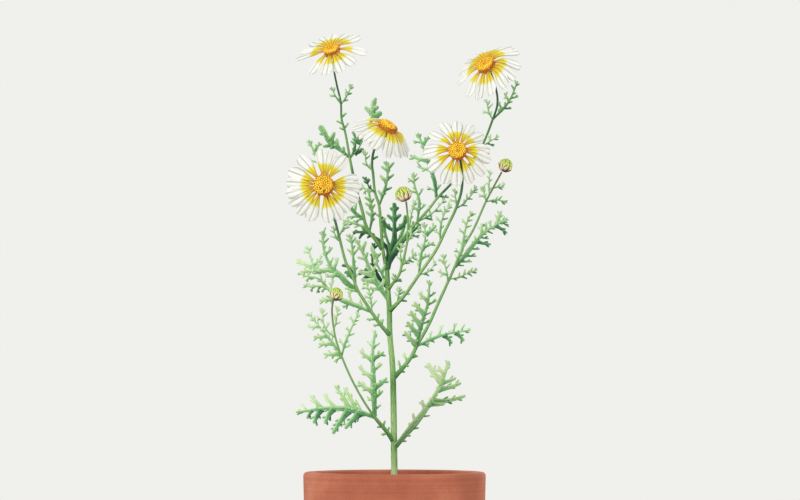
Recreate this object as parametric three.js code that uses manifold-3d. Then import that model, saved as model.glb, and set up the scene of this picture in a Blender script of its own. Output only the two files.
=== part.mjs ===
import * as THREE from "three";
import { mergeVertices } from "three/addons/utils/BufferGeometryUtils.js";
import Module from "manifold-3d";

const wasm = await Module();
wasm.setup();

// Driving sizes in millimetres. The origin is the middle of the pot's foot, and the plant's front faces -Y.
const potHeight = 130;
const potFootRadius = 49;
const potShoulderRadius = 64; // just under the rim
const potRimRadius = 72;
const rimHeight = 28;
const potWall = 5.5;
const potFloor = 8;
const drainHoles = 5;
const drainRadius = 5;
const drainRing = 27; // from the middle of the foot to the middle of a hole
const drainSides = 12;
const potSides = 32;
const soilTop = 118;
const stemDepth = 28; // how far the stem stands in the soil
const seat = 0.3; // the gap that pieces keep where they touch
const stemRadius = { foot: 2.75, top: 1.9 };
const leafThickness = 0.9; // from front to back
const petalThickness = 0.8;
const cupDepth = 7.5; // from the plane of a head's petals back to its stalk

// The plan is a flat drawing of the plant from its front. A place on it is [across, down] in plan steps, and
// a route adds the depth in millimetres, minus towards the front.
const planStep = 0.8;
const planFoot = { across: 394.5, down: 487 }; // where the stem leaves the soil

function place([across, down, depth = 0]) {
  return new THREE.Vector3(
    (across - planFoot.across) * planStep,
    depth,
    soilTop + (planFoot.down - down) * planStep,
  );
}

// Flower heads: where the middle of the petals' plane is, which way it faces, how far the petals reach, how
// far they droop back, and how much their own weight pulls them down. Looks are the ways in which the petals
// lie when the head is seen from the plant's front, in degrees up from the right.
const heads = {
  left: {
    at: [323.5, 185, -50], faces: [0.02, -1, 0.1], reach: 30, droop: 0.1, hang: 0.05,
    looks: [14, -1, -18, -46, -64, -82, -113, -134, -154, -170, 172, 154, 127, 93, 75, 54],
  },
  right: {
    at: [457.4, 151.6, -43], faces: [-0.02, -1, 0.08], reach: 26.8, droop: 0.12, hang: 0.05,
    looks: [3, 30, 57, 87, 108, 127, 147, 177, 194, 211, 243, 262, 297, 318, 342],
  },
  top: {
    at: [330.8, 49, 28], faces: [-0.25, -0.66, 0.71], reach: 26.5, droop: 0.24, hang: 0.12,
    looks: [42, 18, -5, -36, -67, -96, -128, -145, -162, 180, 150, 126, 100, 70],
  },
  high: {
    at: [485.7, 63.5, 12], faces: [-0.47, -0.66, 0.59], reach: 28, droop: 0.2, hang: 0.1,
    looks: [36, 15, -6, -22, -42, -61, -80, -98, -120, -142, -163, 167, 133, 97, 60],
  },
  side: {
    at: [387, 125, 12], faces: [0.48, -0.375, 0.79], reach: 29, droop: 0.5, hang: 0.8,
    looks: [0, 43, 92, 126, 138, 148, 158, 169, -164, -108, -69, -46, -37, -28, -16],
  },
};

// Buds: the middle, which way the bud points, and its half width and half length.
const buds = {
  right: { at: [506.3, 164.7, 43], points: [0.49, 0, 0.87], radius: 5.6, half: 5.4 },
  middle: { at: [403.3, 194.2, -24.5], points: [-0.37, 0, 0.93], radius: 6.6, half: 6 },
  left: { at: [336.6, 293.7, -36], points: [0.43, 0, 0.9], radius: 5.3, half: 5.1 },
};

// A leaf is a spine, the tips of its lobes, how far its end lies behind its foot, and how much its two sides
// twist: lobes on the left of the spine come forward where twist is plus. Width widens every blade.
const leaf = (spine, tips, reach = 0, twist = 0.65, width = 1) => ({ spine, tips, reach, twist, width });

const mainRoute = [
  [394.5, 521.6, 0], [394.5, 487, 0], [394, 440, 0], [393.5, 400, -1], [392.6, 366, 0], [389.9, 335, 2],
  [389.4, 310, 2], [388, 289, 1], [387, 269, 0],
];

const mainLeaves = [
  leaf([[394, 448], [413.8, 423.5], [427, 406], [438.7, 387], [448.6, 360]],
    [[413, 412], [429.7, 414.6], [421.5, 399], [444, 408], [424.6, 385], [465.5, 394], [427, 362],
      [461, 381], [440, 365], [456, 372]], -34, 0.65, 1.15),
  leaf([[387.5, 301], [382.5, 291.5], [375, 279], [370, 269], [364.6, 256], [356.4, 239.5]],
    [[371, 286], [384, 279], [361, 281], [358, 268], [375, 262], [358, 258], [368, 250], [366, 241]],
    -14, -0.4, 1.5),
  leaf([[388, 288], [381, 272], [377, 264], [376, 253]], [[388, 272], [370, 262], [382, 256], [371, 246]],
    -7, 0.4, 1.5),
];

// Stalks, from the foot up, with the leaves that grow on each. Twigs are single small blades.
const stalks = {
  leftBud: {
    route: [
      [393.6, 441, 0], [386, 430.5, -4], [375.3, 417.4, -12], [364.7, 402, -18], [352, 379, -25],
      [342.4, 356.8, -30], [335.9, 337.5, -33], [332.4, 310, -35],
    ],
    radius: [1.7, 0.8],
    leaves: [
      leaf([[375, 417], [354, 410], [331, 407.5], [296.5, 411]],
        [[360, 401], [360, 422], [345, 387], [346, 426], [329, 384.5], [333, 433], [321, 393], [322, 424],
          [309.5, 394.5], [312, 423], [301, 401], [304, 418]], -32, 0.65, 1.2),
      leaf([[375.6, 416], [374, 387], [373, 350], [375.5, 330]],
        [[363, 399], [386, 391], [361, 380], [387, 372], [361, 362], [385, 354], [365, 345], [383, 340],
          [369, 335]], -16, -0.65, 1.15),
      leaf([[341.5, 357], [327, 335], [308.5, 312.5]],
        [[334, 337], [325, 348], [324, 324], [313, 333], [314, 313], [306, 320]], -12, 0.65),
      leaf([[342.4, 356], [345.5, 343], [353, 325], [358.9, 312]],
        [[341, 340], [353, 342], [346, 326], [360, 328], [352, 314], [362, 318]], 8, -0.65),
      leaf([[336, 337], [326.4, 329], [323, 316], [322.8, 307.4]],
        [[320, 328], [330, 322], [317, 316], [328, 312]], -8, 0.65),
      leaf([[334.5, 329], [336.5, 320], [338.5, 306]], [[341, 321], [334, 314], [342, 312]], -7, 0.65),
    ],
    twigs: [[377, 427, 4], [381, 434, -5], [385, 420, -3], [389, 427, 5]],
    carriers: ["stem"],
    bud: "left",
  },
  rightBud: {
    route: [
      [393.3, 378, 0], [401.7, 369.3, 4], [411.9, 356, 9], [416.6, 346.5, 12], [428.9, 324.6, 18],
      [437.8, 304.8, 23], [447.8, 283, 27], [454.2, 269, 29], [461.9, 250, 32], [474, 229, 36],
      [486.8, 200.6, 40], [493.7, 187.6, 42],
    ],
    radius: [1.8, 0.8],
    leaves: [
      leaf([[416, 347], [420.6, 326.5], [427.6, 303], [429.5, 280]],
        [[411, 339], [407, 327], [430, 318], [410, 313], [435, 306], [413, 300], [437, 295], [418.7, 290]],
        -24, 0.65, 1.1),
      leaf([[417, 346], [443, 335], [470.7, 329.6]],
        [[430, 346], [432.5, 329.6], [451, 344], [443, 325], [464, 340], [456, 322.5]], -26, -0.65, 1.1),
      leaf([[447.8, 283], [446.6, 271.5], [444, 253.6]], [[439, 270], [452, 266], [439, 261], [449, 257]],
        -10, 0.65),
      leaf([[447.8, 283], [461, 276], [478, 269.5]], [[459, 269], [465, 280], [469, 265], [474, 276]],
        -8, 0.65),
      leaf([[454.2, 269], [468, 252], [486, 231], [500, 224], [510, 219]],
        [[472, 262], [468, 238], [481, 250], [478, 224], [492.5, 244], [489, 218], [498, 236], [502, 211],
          [509, 230]], 24, -0.65, 1.15),
      leaf([[458.5, 259], [464.4, 240], [465, 227], [472.7, 211.5]],
        [[457, 249], [471, 238], [458, 236], [460, 226], [472, 224], [463, 217]], -12, 0.65),
      leaf([[486.8, 200.6], [489, 183], [490.6, 170]], [[481, 190], [484, 182], [495, 178]], -9, 0.65),
      leaf([[486.8, 200.6], [498, 200], [509, 202.5]], [[495, 194], [498, 205], [504, 196]], 8, 0.65),
      leaf([[493.7, 187.6], [500, 186], [508, 183]], [[501, 180], [503, 190]], 9, -0.65),
    ],
    twigs: [[398.5, 360, -4], [404, 353, 5], [409, 366, -5], [418, 356, 4], [405, 372, 5]],
    carriers: ["stem"],
    bud: "right",
  },
  leftHead: {
    route: [
      [389.9, 335, 2], [381.7, 326, -4], [372.9, 313.8, -9], [363.3, 299, -14], [357.6, 289.5, -17],
      [352.5, 275.5, -21], [346.2, 262.3, -25], [339.2, 235.5, -31], [335.4, 220.8, -34], [328, 200, -39],
    ],
    radius: [1.6, 1],
    leaves: [
      leaf([[357.6, 289.5], [341, 277], [328, 260], [324, 240], [325, 227]],
        [[345, 267], [338, 256], [328, 277], [333, 246], [318, 247], [330, 237], [319, 236]],
        -10, 0.65, 1.25),
      leaf([[357.6, 289.5], [342, 279.5], [326, 268], [312, 262], [296.5, 257]],
        [[328, 279], [318, 254], [312.4, 274], [308, 247], [302, 272], [299, 266]], 16, -0.65, 1.15),
      leaf([[371, 311], [352, 304], [341, 299.7], [329.5, 289.5], [318, 277], [298, 273.6]],
        [[360, 299], [356, 312], [348, 291], [343, 308], [334, 280], [321, 299], [316, 291], [306, 288],
          [303, 281]], 28, -0.5, 1.1),
      leaf([[355.5, 284], [352.6, 263], [352, 250], [349.4, 234]],
        [[358, 267], [347, 262], [358, 250], [347, 248], [355, 237]], 9, 0.4),
      leaf([[372, 312.5], [371, 301], [369, 291.5], [366, 281]],
        [[377, 300], [364, 295], [375, 289], [362, 286]], -6, 0.65),
      leaf([[339.5, 237], [346, 221]], [[350, 227], [343, 223]], 6, 0.65),
      leaf([[340.3, 240], [335, 235.5], [330, 229]], [[334.5, 227], [330, 236]], 5, 0.65),
    ],
    twigs: [[366.5, 319, 5], [373, 325, -5], [379, 313, -4], [383, 319, 5], [345, 288, -6]],
    carriers: ["stem"],
    head: "left",
  },
  rightHead: {
    route: [
      [389.4, 311, 2], [398.3, 302.3, -3], [406, 293.4, -7], [418.7, 275, -13], [435.9, 250, -19],
      [446, 229, -23], [456, 208, -27], [461.3, 190.4, -30], [461.9, 174.5, -32], [459.5, 160, -34.5],
    ],
    radius: [1.6, 1],
    leaves: [
      leaf([[418.7, 275], [421, 254], [425, 239], [424, 222]],
        [[414, 256], [430, 254], [417, 243], [434, 242], [418, 229], [436, 225]], 10, 0.65),
      leaf([[418.7, 275], [430, 268], [437, 259]], [[426, 262], [434, 271], [431, 256]], -9, 0.65),
      leaf([[440, 242], [440, 231], [443, 216], [451, 204]],
        [[434, 229], [436, 216], [448, 218], [444, 206]], -8, 0.65),
      leaf([[456, 208], [455.5, 199], [454, 189]], [[450, 199], [461, 197]], 8, 0.65),
      leaf([[455.8, 209], [467.6, 198], [477, 189]], [[467, 207], [467, 190], [476, 198]], 9, -0.65),
      leaf([[397, 304], [399.9, 286.4]], [[394, 292], [405, 291]], 8, 0.65),
    ],
    twigs: [[407, 301, 4], [410, 294, -5]],
    carriers: ["stem"],
    head: "right",
  },
  middleBud: {
    route: [
      [388, 290, 1], [393.5, 282.5, -4], [399.5, 274, -9], [401.5, 266, -12], [405, 253, -16],
      [407.4, 239, -19], [407.7, 218, -22],
    ],
    radius: [1.3, 0.9],
    leaves: [
      leaf([[401.5, 266], [408.5, 260], [417, 254.5]], [[405, 254], [414, 262], [413, 248]], 6, 0.65),
      leaf([[401.5, 266], [400.4, 253], [402, 243]], [[396, 256], [397, 247]], -6, 0.65),
      leaf([[407, 243], [412, 235], [421, 229]], [[411, 228], [419, 238]], -6, 0.65),
      leaf([[396, 279.5], [392, 271], [389, 262]], [[387, 271], [396, 267]], -10, 0.65),
    ],
    twigs: [[402, 281, 4], [406, 269, -4]],
    carriers: ["stem"],
    bud: "middle",
  },
  sideHead: {
    route: [
      [386.6, 270, 0], [383, 250, 5], [381, 227, 8], [379, 205, 10], [374.9, 191.7, 12], [373, 173, 13],
      [372, 165, 13.5], [373, 154, 14], [376.5, 144.4, 14],
    ],
    radius: [1.5, 1],
    leaves: [
      leaf([[372.5, 171], [366.6, 164], [364.7, 150]], [[362, 163], [370, 155]], -6, 0.65),
      leaf([[379, 205], [383, 194], [387.4, 176], [386, 161]],
        [[378, 190], [392, 187], [380, 175], [394, 174], [381, 166], [394, 162]], -10, 0.65, 1.1),
      leaf([[374.9, 191.7], [369, 188], [360, 190]], [[370.5, 178], [361, 181], [365, 194]], -9, 0.65),
      leaf([[385, 262], [384, 250], [376, 240], [366, 234], [352.5, 232]],
        [[379, 250], [370, 227], [364, 243], [360, 225], [358, 239]], -28, 0.3, 1.8),
    ],
    twigs: [[378, 156, 4], [386, 218, -5], [376, 214, 4]],
    carriers: ["stem"],
    head: "side",
  },
  highHead: {
    route: [
      [387.4, 270, 0], [394.6, 249.7, -3], [406, 234, -2], [417.6, 221.5, 3], [429.7, 208, 8],
      [436.5, 199, 11], [448.5, 186.6, 15], [466, 168, 18], [482, 146, 19], [493, 119, 19], [497.4, 106, 19],
      [497.7, 96, 19], [494.9, 83.4, 18],
    ],
    radius: [1.7, 1],
    leaves: [
      leaf([[417.6, 221.5], [419, 201], [414.4, 185], [413.5, 172]],
        [[412, 205], [426, 204], [409, 190], [423, 188], [408, 178], [419, 177]], -12, 0.65, 1.1),
      leaf([[417.6, 221.5], [431, 214], [439, 206], [445, 198]], [[429, 205], [433, 220], [443, 211]],
        14, 0.65),
      leaf([[436.5, 199], [434, 180], [427, 160], [423, 147], [418, 132]],
        [[427, 186], [441, 184], [417, 166], [437, 165], [410, 155], [431, 150], [413, 140], [429, 135]],
        24, 0.65, 1.1),
      leaf([[482, 146], [490, 141], [499, 136]], [[491, 134], [494, 146]], -8, 0.65),
      leaf([[493, 119], [489, 111.5], [486.6, 99]], [[483, 110], [493, 103]], -7, 0.65),
      leaf([[493, 119], [502.5, 109.6], [510, 100], [518.4, 80.3]],
        [[500, 101], [512, 108], [505, 92], [519, 96], [512, 84]], 10, -0.65),
      leaf([[409, 231], [411, 216], [415.7, 200]], [[406, 214], [411, 205]], 10, 0.4),
      leaf([[389, 264], [393, 250], [394, 226], [394, 202]],
        [[384.5, 218], [404, 230], [385, 232], [405, 216], [388, 210], [401, 209]], 17, 0.3, 2),
      leaf([[389, 264], [400, 246], [408, 236], [421, 225]], [[402, 236], [412, 242], [413, 224]],
        14, 0.3, 1.8),
    ],
    twigs: [[449, 197, 5], [455, 171, 5], [473, 164, -4]],
    carriers: ["stem", "sideHead"],
    head: "high",
  },
  topHead: {
    route: [
      [382.8, 250, 5], [375.6, 240, 9], [366.6, 227, 14], [361.5, 208, 19], [356.1, 189.2, 23],
      [352, 170, 26], [349.5, 157, 28], [345, 132, 30], [341.3, 118, 31], [340.5, 101.5, 32],
      [336.5, 84, 33], [333.6, 68, 33],
    ],
    radius: [1.4, 0.9],
    leaves: [
      leaf([[362, 213], [345, 200], [332, 183], [320, 165], [308, 139]],
        [[351, 214], [349, 188], [337, 197], [336, 172], [321, 182], [325, 155], [311, 160], [319, 141]],
        20, 0.5, 1.1),
      leaf([[349.5, 157], [341, 150], [330, 138], [319, 125]],
        [[338, 156], [343, 139], [325, 146], [333, 128]], -14, -0.4, 1.7),
      leaf([[350, 159], [360, 145], [368, 125], [375.5, 97]],
        [[353, 138], [365, 146], [356, 124], [378, 126], [364, 108], [381, 110]], 22, 0.3, 1.9),
      leaf([[368, 230], [370.4, 208], [369, 190]], [[364, 217], [376, 215], [364, 204], [375, 201]],
        -10, 0.65),
      leaf([[340.5, 103], [335, 95], [331, 86]], [[329, 94]], -6, 0.65),
      leaf([[340.5, 103], [347, 94], [352, 83]], [[352, 92], [345, 88]], 6, 0.65),
    ],
    twigs: [[339, 127, -4], [348, 122, 4], [336, 120, -4], [346, 112, 4], [344, 220, 5]],
    carriers: ["sideHead"],
    head: "top",
  },
};

// A closed geometry as a solid that can be joined and cut.
function solidOf(geometry) {
  const bare = geometry.index ? geometry.toNonIndexed() : geometry.clone();
  bare.deleteAttribute("normal");
  bare.deleteAttribute("uv");
  const merged = mergeVertices(bare, 1e-4);
  return new wasm.Manifold(
    new wasm.Mesh({
      numProp: 3,
      vertProperties: merged.attributes.position.array,
      triVerts: new Uint32Array(merged.index.array),
    }),
  );
}

function geometryOf(solid) {
  const mesh = solid.getMesh();
  const geometry = new THREE.BufferGeometry();
  geometry.setAttribute("position", new THREE.BufferAttribute(new Float32Array(mesh.vertProperties), 3));
  geometry.setIndex(new THREE.BufferAttribute(new Uint32Array(mesh.triVerts), 1));
  geometry.computeVertexNormals();
  return geometry;
}

const join = (solids) => solids.reduce((all, one) => all.add(one));

// Moves each vertex of a geometry by a rule.
function reshape(geometry, rule) {
  const spots = geometry.attributes.position;
  for (let i = 0; i < spots.count; i++) {
    const spot = rule(new THREE.Vector3().fromBufferAttribute(spots, i));
    spots.setXYZ(i, spot.x, spot.y, spot.z);
  }
  return geometry;
}

// The number of the edge that a vertex of a round geometry lies on.
const edgeOf = ({ x, z }, sides) => Math.round((Math.atan2(x, z) / Math.PI / 2) * sides);

// A round rod along a curve, with a radius that changes from foot to top. A ridged rod has every other edge
// a little further out.
function rod(curve, radii, sides, steps, ridge = 0) {
  const frames = curve.computeFrenetFrames(steps, false);
  const plain = new THREE.CylinderGeometry(1, 1, 1, sides, steps);
  return solidOf(
    reshape(plain, ({ x, y, z }) => {
      const step = Math.round((y + 0.5) * steps);
      const swell = 1 + ridge * Math.abs(edgeOf({ x, z }, sides) % 2);
      const radius = THREE.MathUtils.lerp(radii[0], radii[1], step / steps) * swell;
      return curve
        .getPointAt(step / steps)
        .addScaledVector(frames.binormals[step], x * radius)
        .addScaledVector(frames.normals[step], z * radius);
    }),
  );
}

// The spot on a curve that looks nearest to a place on the plan.
const lookSteps = 60;

function nearest(curve, spot) {
  let best = { gap: Infinity };
  for (let i = 0; i <= lookSteps; i++) {
    const point = curve.getPointAt(i / lookSteps);
    const gap = Math.hypot(point.x - spot.x, point.z - spot.z);
    if (gap < best.gap) best = { gap, point, at: i / lookSteps };
  }
  return best;
}

// The two sides of a leaf's spine, as seen on the plan: minus is left of its way up.
const offset = (way, side) => new THREE.Vector3(way.z, 0, -way.x).normalize().multiplyScalar(side);

// One lobe's outline, from the lower corner of its root round its tip to the upper one. A long lobe has a
// tooth on both edges, a middling one a broad belly, and a short one is a plain point.
const lobeTeethFrom = 10;
const lobeBellyFrom = 4;
const lobeToothMost = 2.4;
const lobeBelly = { swell: 1.4, most: 1.45 }; // over the plain half width, and in millimetres

function lobeRim(root, tip, width, side) {
  const along = tip.clone().sub(root);
  const length = along.length();
  const across = offset(along, side);
  const half = width * THREE.MathUtils.clamp(length * 0.13, 0.75, 1.45);
  const tooth = half + Math.min(length * 0.17, lobeToothMost);
  let edges = [[1, 0]];
  if (length > lobeTeethFrom) {
    edges = [
      [0.3, half], [0.55, tooth], [0.66, half * 0.8], [1, 0], [0.84, -half * 0.7], [0.74, -tooth * 0.85],
      [0.5, -half],
    ];
  } else if (length > lobeBellyFrom) {
    const belly = Math.max(half, Math.min(half * lobeBelly.swell, lobeBelly.most));
    edges = [[0.6, belly], [1, 0], [0.6, -belly]];
  }
  return edges.map(([t, s]) => root.clone().addScaledVector(along, t).addScaledVector(across, s));
}

// A leaf is one thin sheet: its outline goes up the left of the spine, round its end and down the right, with
// each lobe drawn where it leaves the spine. A lobe leaves it lower down than its tip lies, by lean times the
// distance out. The sheet's depth follows the spine's, plus the twist across it.
const lean = 0.62;
const spineHalf = { foot: 1, end: 0.6 };
const rootHalf = 0.75; // of a lobe, along the spine
const edgeStep = 9; // the longest stretch of bare spine with straight edges

function leafSolid({ spine, tips, reach, twist, width }, stalk) {
  const foot = nearest(stalk, place(spine[0])).point;
  const points = spine.map((spot) => place(spot));
  points[0] = foot.clone().setY(0);
  const curve = new THREE.CatmullRomCurve3(points);
  const length = curve.getLength();
  const edge = (distance, side) => {
    const at = THREE.MathUtils.clamp(distance / length, 0, 1);
    const half = THREE.MathUtils.lerp(spineHalf.foot, spineHalf.end, at) * Math.sqrt(width);
    return curve.getPointAt(at).add(offset(curve.getTangentAt(at), side * half));
  };
  const sideOf = (side) => {
    const lobes = [];
    for (const tip of tips.map((spot) => place(spot))) {
      const near = nearest(curve, tip);
      const right = offset(curve.getTangentAt(near.at), 1);
      if (Math.sign(right.dot(tip.clone().sub(near.point))) !== side) continue;
      lobes.push({ tip, root: near.at * length - lean * near.gap });
    }
    lobes.sort((one, other) => one.root - other.root);
    const rim = [];
    let free = 1.2;
    const follow = (end) => {
      const pieces = Math.ceil((end - free) / edgeStep);
      for (let i = 1; i < pieces; i++) rim.push(edge(free + ((end - free) * i) / pieces, side));
    };
    for (const { tip, root } of lobes) {
      const at = Math.max(root, free + rootHalf);
      follow(at - rootHalf);
      const middle = curve.getPointAt(Math.min(1, at / length));
      rim.push(edge(at - rootHalf, side), ...lobeRim(middle, tip, width, side), edge(at + rootHalf, side));
      free = at + rootHalf + 0.2;
    }
    follow(length);
    return [edge(0, side), ...rim];
  };
  const rim = [...sideOf(-1), curve.getPointAt(1), ...sideOf(1).reverse()];
  const outline = new THREE.Shape(rim.map((spot) => new THREE.Vector2(spot.x, spot.z)));
  const sheet = new THREE.ExtrudeGeometry(outline, { depth: leafThickness, bevelEnabled: false, steps: 1 });
  return solidOf(
    reshape(sheet, ({ x, y: z, z: lift }) => {
      const near = nearest(curve, { x, z });
      const out = offset(curve.getTangentAt(near.at), 1).dot(new THREE.Vector3(x, 0, z).sub(near.point));
      return new THREE.Vector3(x, foot.y + reach * near.at + out * twist + leafThickness / 2 - lift, z);
    }),
  );
}

// A twig is a leaf with no lobes, which leans away from the stalk.
function twigSolid([across, down, reach], stalk) {
  const tip = place([across, down]);
  const near = nearest(stalk, tip);
  const at = Math.max(0.01, near.at - (lean * near.gap) / stalk.getLength());
  const foot = stalk.getPointAt(at);
  const footDown = planFoot.down - (foot.z - soilTop) / planStep;
  const footAcross = planFoot.across + foot.x / planStep;
  return leafSolid(leaf([[footAcross, footDown], [across, down]], [], reach), stalk);
}

// A head's own axes: out of the face, and two across it.
function axesOf(head) {
  const out = new THREE.Vector3(...head.faces).normalize();
  const right = new THREE.Vector3(0, 0, 1).cross(out).normalize();
  return { out, right, up: out.clone().cross(right) };
}

function headMatrix(head) {
  const { out, right, up } = axesOf(head);
  return new THREE.Matrix4().makeBasis(right, up, out).setPosition(place(head.at));
}

// The green cup behind a head: its rim follows the bracts, long and short by turns.
const cupShare = 0.27; // of the petals' reach
const cupSides = 12;
const cupNotch = 0.07;
const cupFoot = 1.1; // the radius where it meets the stalk

function cupSolid(head) {
  const rim = head.reach * cupShare;
  const profile = [
    [0, -cupDepth], [cupFoot, -cupDepth], [rim * 0.62, -cupDepth * 0.8], [rim * 0.95, -cupDepth * 0.42],
    [rim, -1], [0, -1],
  ].map(([r, h]) => new THREE.Vector2(r, h));
  const bowl = new THREE.LatheGeometry(profile, cupSides);
  reshape(bowl, (spot) => {
    const squeeze = 1 - cupNotch * Math.abs(edgeOf(spot, cupSides) % 2);
    return new THREE.Vector3(spot.x * squeeze, spot.z * squeeze, spot.y);
  });
  return solidOf(bowl.applyMatrix4(new THREE.Matrix4().makeScale(1, -1, 1)).applyMatrix4(headMatrix(head)));
}

// The turn of each petal in its head's own plane: the one whose petal lies as it looks from the front.
function petalTurns(head) {
  const { right, up } = axesOf(head);
  const turns = head.looks.map((degrees) => {
    const look = THREE.MathUtils.degToRad(degrees);
    const turn = Math.atan2(-right.x * Math.sin(look), up.x * Math.sin(look) - up.z * Math.cos(look));
    const ahead = Math.cos(turn) * right.x + Math.sin(turn) * up.x;
    const rise = Math.sin(turn) * up.z;
    return ahead * Math.cos(look) + rise * Math.sin(look) > 0 ? turn : turn + Math.PI;
  });
  return turns.map((turn) => THREE.MathUtils.euclideanModulo(turn, Math.PI * 2)).sort((a, b) => a - b);
}

// A closed sheet: an outline split into the same triangles on both faces, and the wall round it.
function sheetGeometry(outline, triangles, thickness) {
  const count = outline.length;
  const spots = [0, thickness].flatMap((lift) => outline.flatMap(({ x, y }) => [x, y, lift]));
  const faces = triangles.flatMap(([a, b, c]) => [c, b, a, a + count, b + count, c + count]);
  for (let i = 0; i < count; i++) {
    const next = (i + 1) % count;
    faces.push(i, next, next + count, i, next + count, i + count);
  }
  const sheet = new THREE.BufferGeometry();
  sheet.setAttribute("position", new THREE.Float32BufferAttribute(spots, 3));
  sheet.setIndex(faces);
  return sheet;
}

// The petals of a head are one star-shaped sheet, in which no petal is wider than its room between its
// neighbours. From the ring where they part, they bend by degrees to the droop, and their own weight turns
// them down.
const ringShare = 0.27; // where the petals part, as a share of the reach
const bendShare = 0.4; // the share of a petal's free length in which it turns to its droop
const petalGap = 0.025; // half the least angle between neighbours
const petalLength = { mean: 0.97, change: 0.03 }; // as shares of the reach
const droopChange = 0.06;
// One petal's outline from the ring's corner before it, which counts as 0, to the one after it, which counts
// as 8, and the triangles that it is split into, row after row.
const petalRim = [
  [0.58, -0.125], [0.87, -0.162], [0.985, -0.09], [0.955, 0.01], [1, 0.09], [0.86, 0.162], [0.58, 0.125],
];
const petalFaces = [[0, 1, 8], [1, 7, 8], [1, 2, 7], [2, 6, 7], [2, 3, 4], [2, 4, 6], [4, 5, 6]];

// The star's outline, and its triangles: those of each petal, and those of the middle.
function petalStar(head) {
  const turns = petalTurns(head);
  const whole = Math.PI * 2;
  const outline = [];
  const mark = (distance, turn) => {
    outline.push(new THREE.Vector2(distance * Math.cos(turn), distance * Math.sin(turn)));
  };
  turns.forEach((turn, i) => {
    const before = (turn - (turns[i - 1] ?? turns.at(-1) - whole)) / 2;
    const after = ((turns[i + 1] ?? turns[0] + whole) - turn) / 2;
    const length = head.reach * (petalLength.mean + petalLength.change * Math.sin(i * 3.1));
    mark(head.reach * ringShare, turn - before);
    for (const [t, s] of petalRim) {
      const aside = THREE.MathUtils.clamp(Math.atan2(s, t), petalGap - before, after - petalGap);
      mark(length * Math.hypot(t, s), turn + aside);
    }
  });
  const ring = turns.map((_, i) => i * (petalRim.length + 1));
  const middle = ring.slice(1, -1).map((corner, i) => [0, corner, ring[i + 2]]);
  const petals = ring.flatMap((first) =>
    petalFaces.map((face) => face.map((corner) => (first + corner) % outline.length)));
  return { outline, triangles: [...petals, ...middle] };
}

function petalsSolid(head) {
  const { out, right, up } = axesOf(head);
  const { outline, triangles } = petalStar(head);
  const ring = head.reach * ringShare;
  const span = head.reach - ring;
  return solidOf(
    reshape(sheetGeometry(outline, triangles, petalThickness), ({ x, y, z: lift }) => {
      const turn = Math.atan2(y, x);
      const distance = Math.hypot(x, y);
      const bend = Math.max(0, distance - ring) / span;
      const droop = head.droop + droopChange * Math.sin(turn * 5);
      const away = right.clone().multiplyScalar(Math.cos(turn)).addScaledVector(up, Math.sin(turn));
      const end = away.clone().multiplyScalar(Math.cos(droop)).addScaledVector(out, -Math.sin(droop));
      end.z -= head.hang;
      end.normalize();
      const turned = bend < bendShare ? (bend * bend) / bendShare / 2 : bend - bendShare / 2;
      return place(head.at)
        .addScaledVector(away, Math.min(distance, ring) + span * (bend - turned))
        .addScaledVector(end, span * turned)
        .addScaledVector(out, lift - petalThickness / 2);
    }),
  );
}

// The disc of florets: a low dome whose surface stands up and down by turns, ring after ring.
const discShare = 0.28;
const discRise = 0.48; // height over radius
const discFoot = 1; // how far its flat back stands in front of the petals' plane
const discWall = 1.4; // where the dome starts
const discRings = 6;
const discSides = 16;
const floretLift = 0.4;

function discSolid(head) {
  const radius = head.reach * discShare;
  const profile = [new THREE.Vector2(0, discFoot), new THREE.Vector2(radius * 0.9, discFoot)];
  for (let ring = 0; ring < discRings; ring++) {
    const angle = (ring / discRings) * (Math.PI / 2);
    profile.push(new THREE.Vector2(radius * Math.cos(angle), discWall + radius * discRise * Math.sin(angle)));
  }
  profile.push(new THREE.Vector2(0, discWall + radius * discRise));
  const dome = new THREE.LatheGeometry(profile, discSides);
  reshape(dome, (spot) => {
    const rise = THREE.MathUtils.clamp((spot.y - discWall) / radius / discRise, 0, 1);
    const ring = Math.round((Math.asin(rise) / (Math.PI / 2)) * discRings);
    const flank = ring < discRings && spot.y > discFoot + 0.1;
    const lift = flank && Math.abs(edgeOf(spot, discSides) + ring) % 2 ? floretLift : 0;
    return spot.add(spot.clone().setY(spot.y + 2).normalize().multiplyScalar(lift));
  });
  dome.rotateX(Math.PI / 2);
  return solidOf(dome.applyMatrix4(headMatrix(head)));
}

// A bud: a ball of bracts, each standing a little over the one above it.
const budSides = 12;
const budRings = 8;
const bractLift = 0.07;
const budPole = 0.92; // the core's half length over the bud's

function budSolid({ at, points, radius, half }) {
  const ball = new THREE.SphereGeometry(1, budSides, budRings);
  reshape(ball, (spot) => {
    const ring = Math.round((Math.acos(THREE.MathUtils.clamp(spot.y, -1, 1)) / Math.PI) * budRings);
    const pole = ring === 0 || ring === budRings;
    const swell = pole ? 1 : 1 + bractLift * (Math.abs(edgeOf(spot, budSides) + ring) % 2);
    const wide = radius * swell;
    return new THREE.Vector3(spot.x * wide, spot.y * half * (pole ? budPole : 1), spot.z * wide);
  });
  const turn = new THREE.Quaternion().setFromUnitVectors(
    new THREE.Vector3(0, 1, 0),
    new THREE.Vector3(...points).normalize(),
  );
  ball.applyQuaternion(turn);
  return solidOf(ball.translate(...place(at).toArray()));
}

// The way a stalk ends: behind its head's cup, or under its bud.
function stalkEnd(stalk) {
  if (stalk.head) {
    const head = heads[stalk.head];
    return place(head.at).addScaledVector(axesOf(head).out, -cupDepth);
  }
  const bud = buds[stalk.bud];
  const way = new THREE.Vector3(...bud.points).normalize();
  return place(bud.at).addScaledVector(way, -bud.half * budPole - 2 * seat);
}

function stalkCurve(stalk) {
  return new THREE.CatmullRomCurve3([...stalk.route.map(place), stalkEnd(stalk)]);
}

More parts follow.
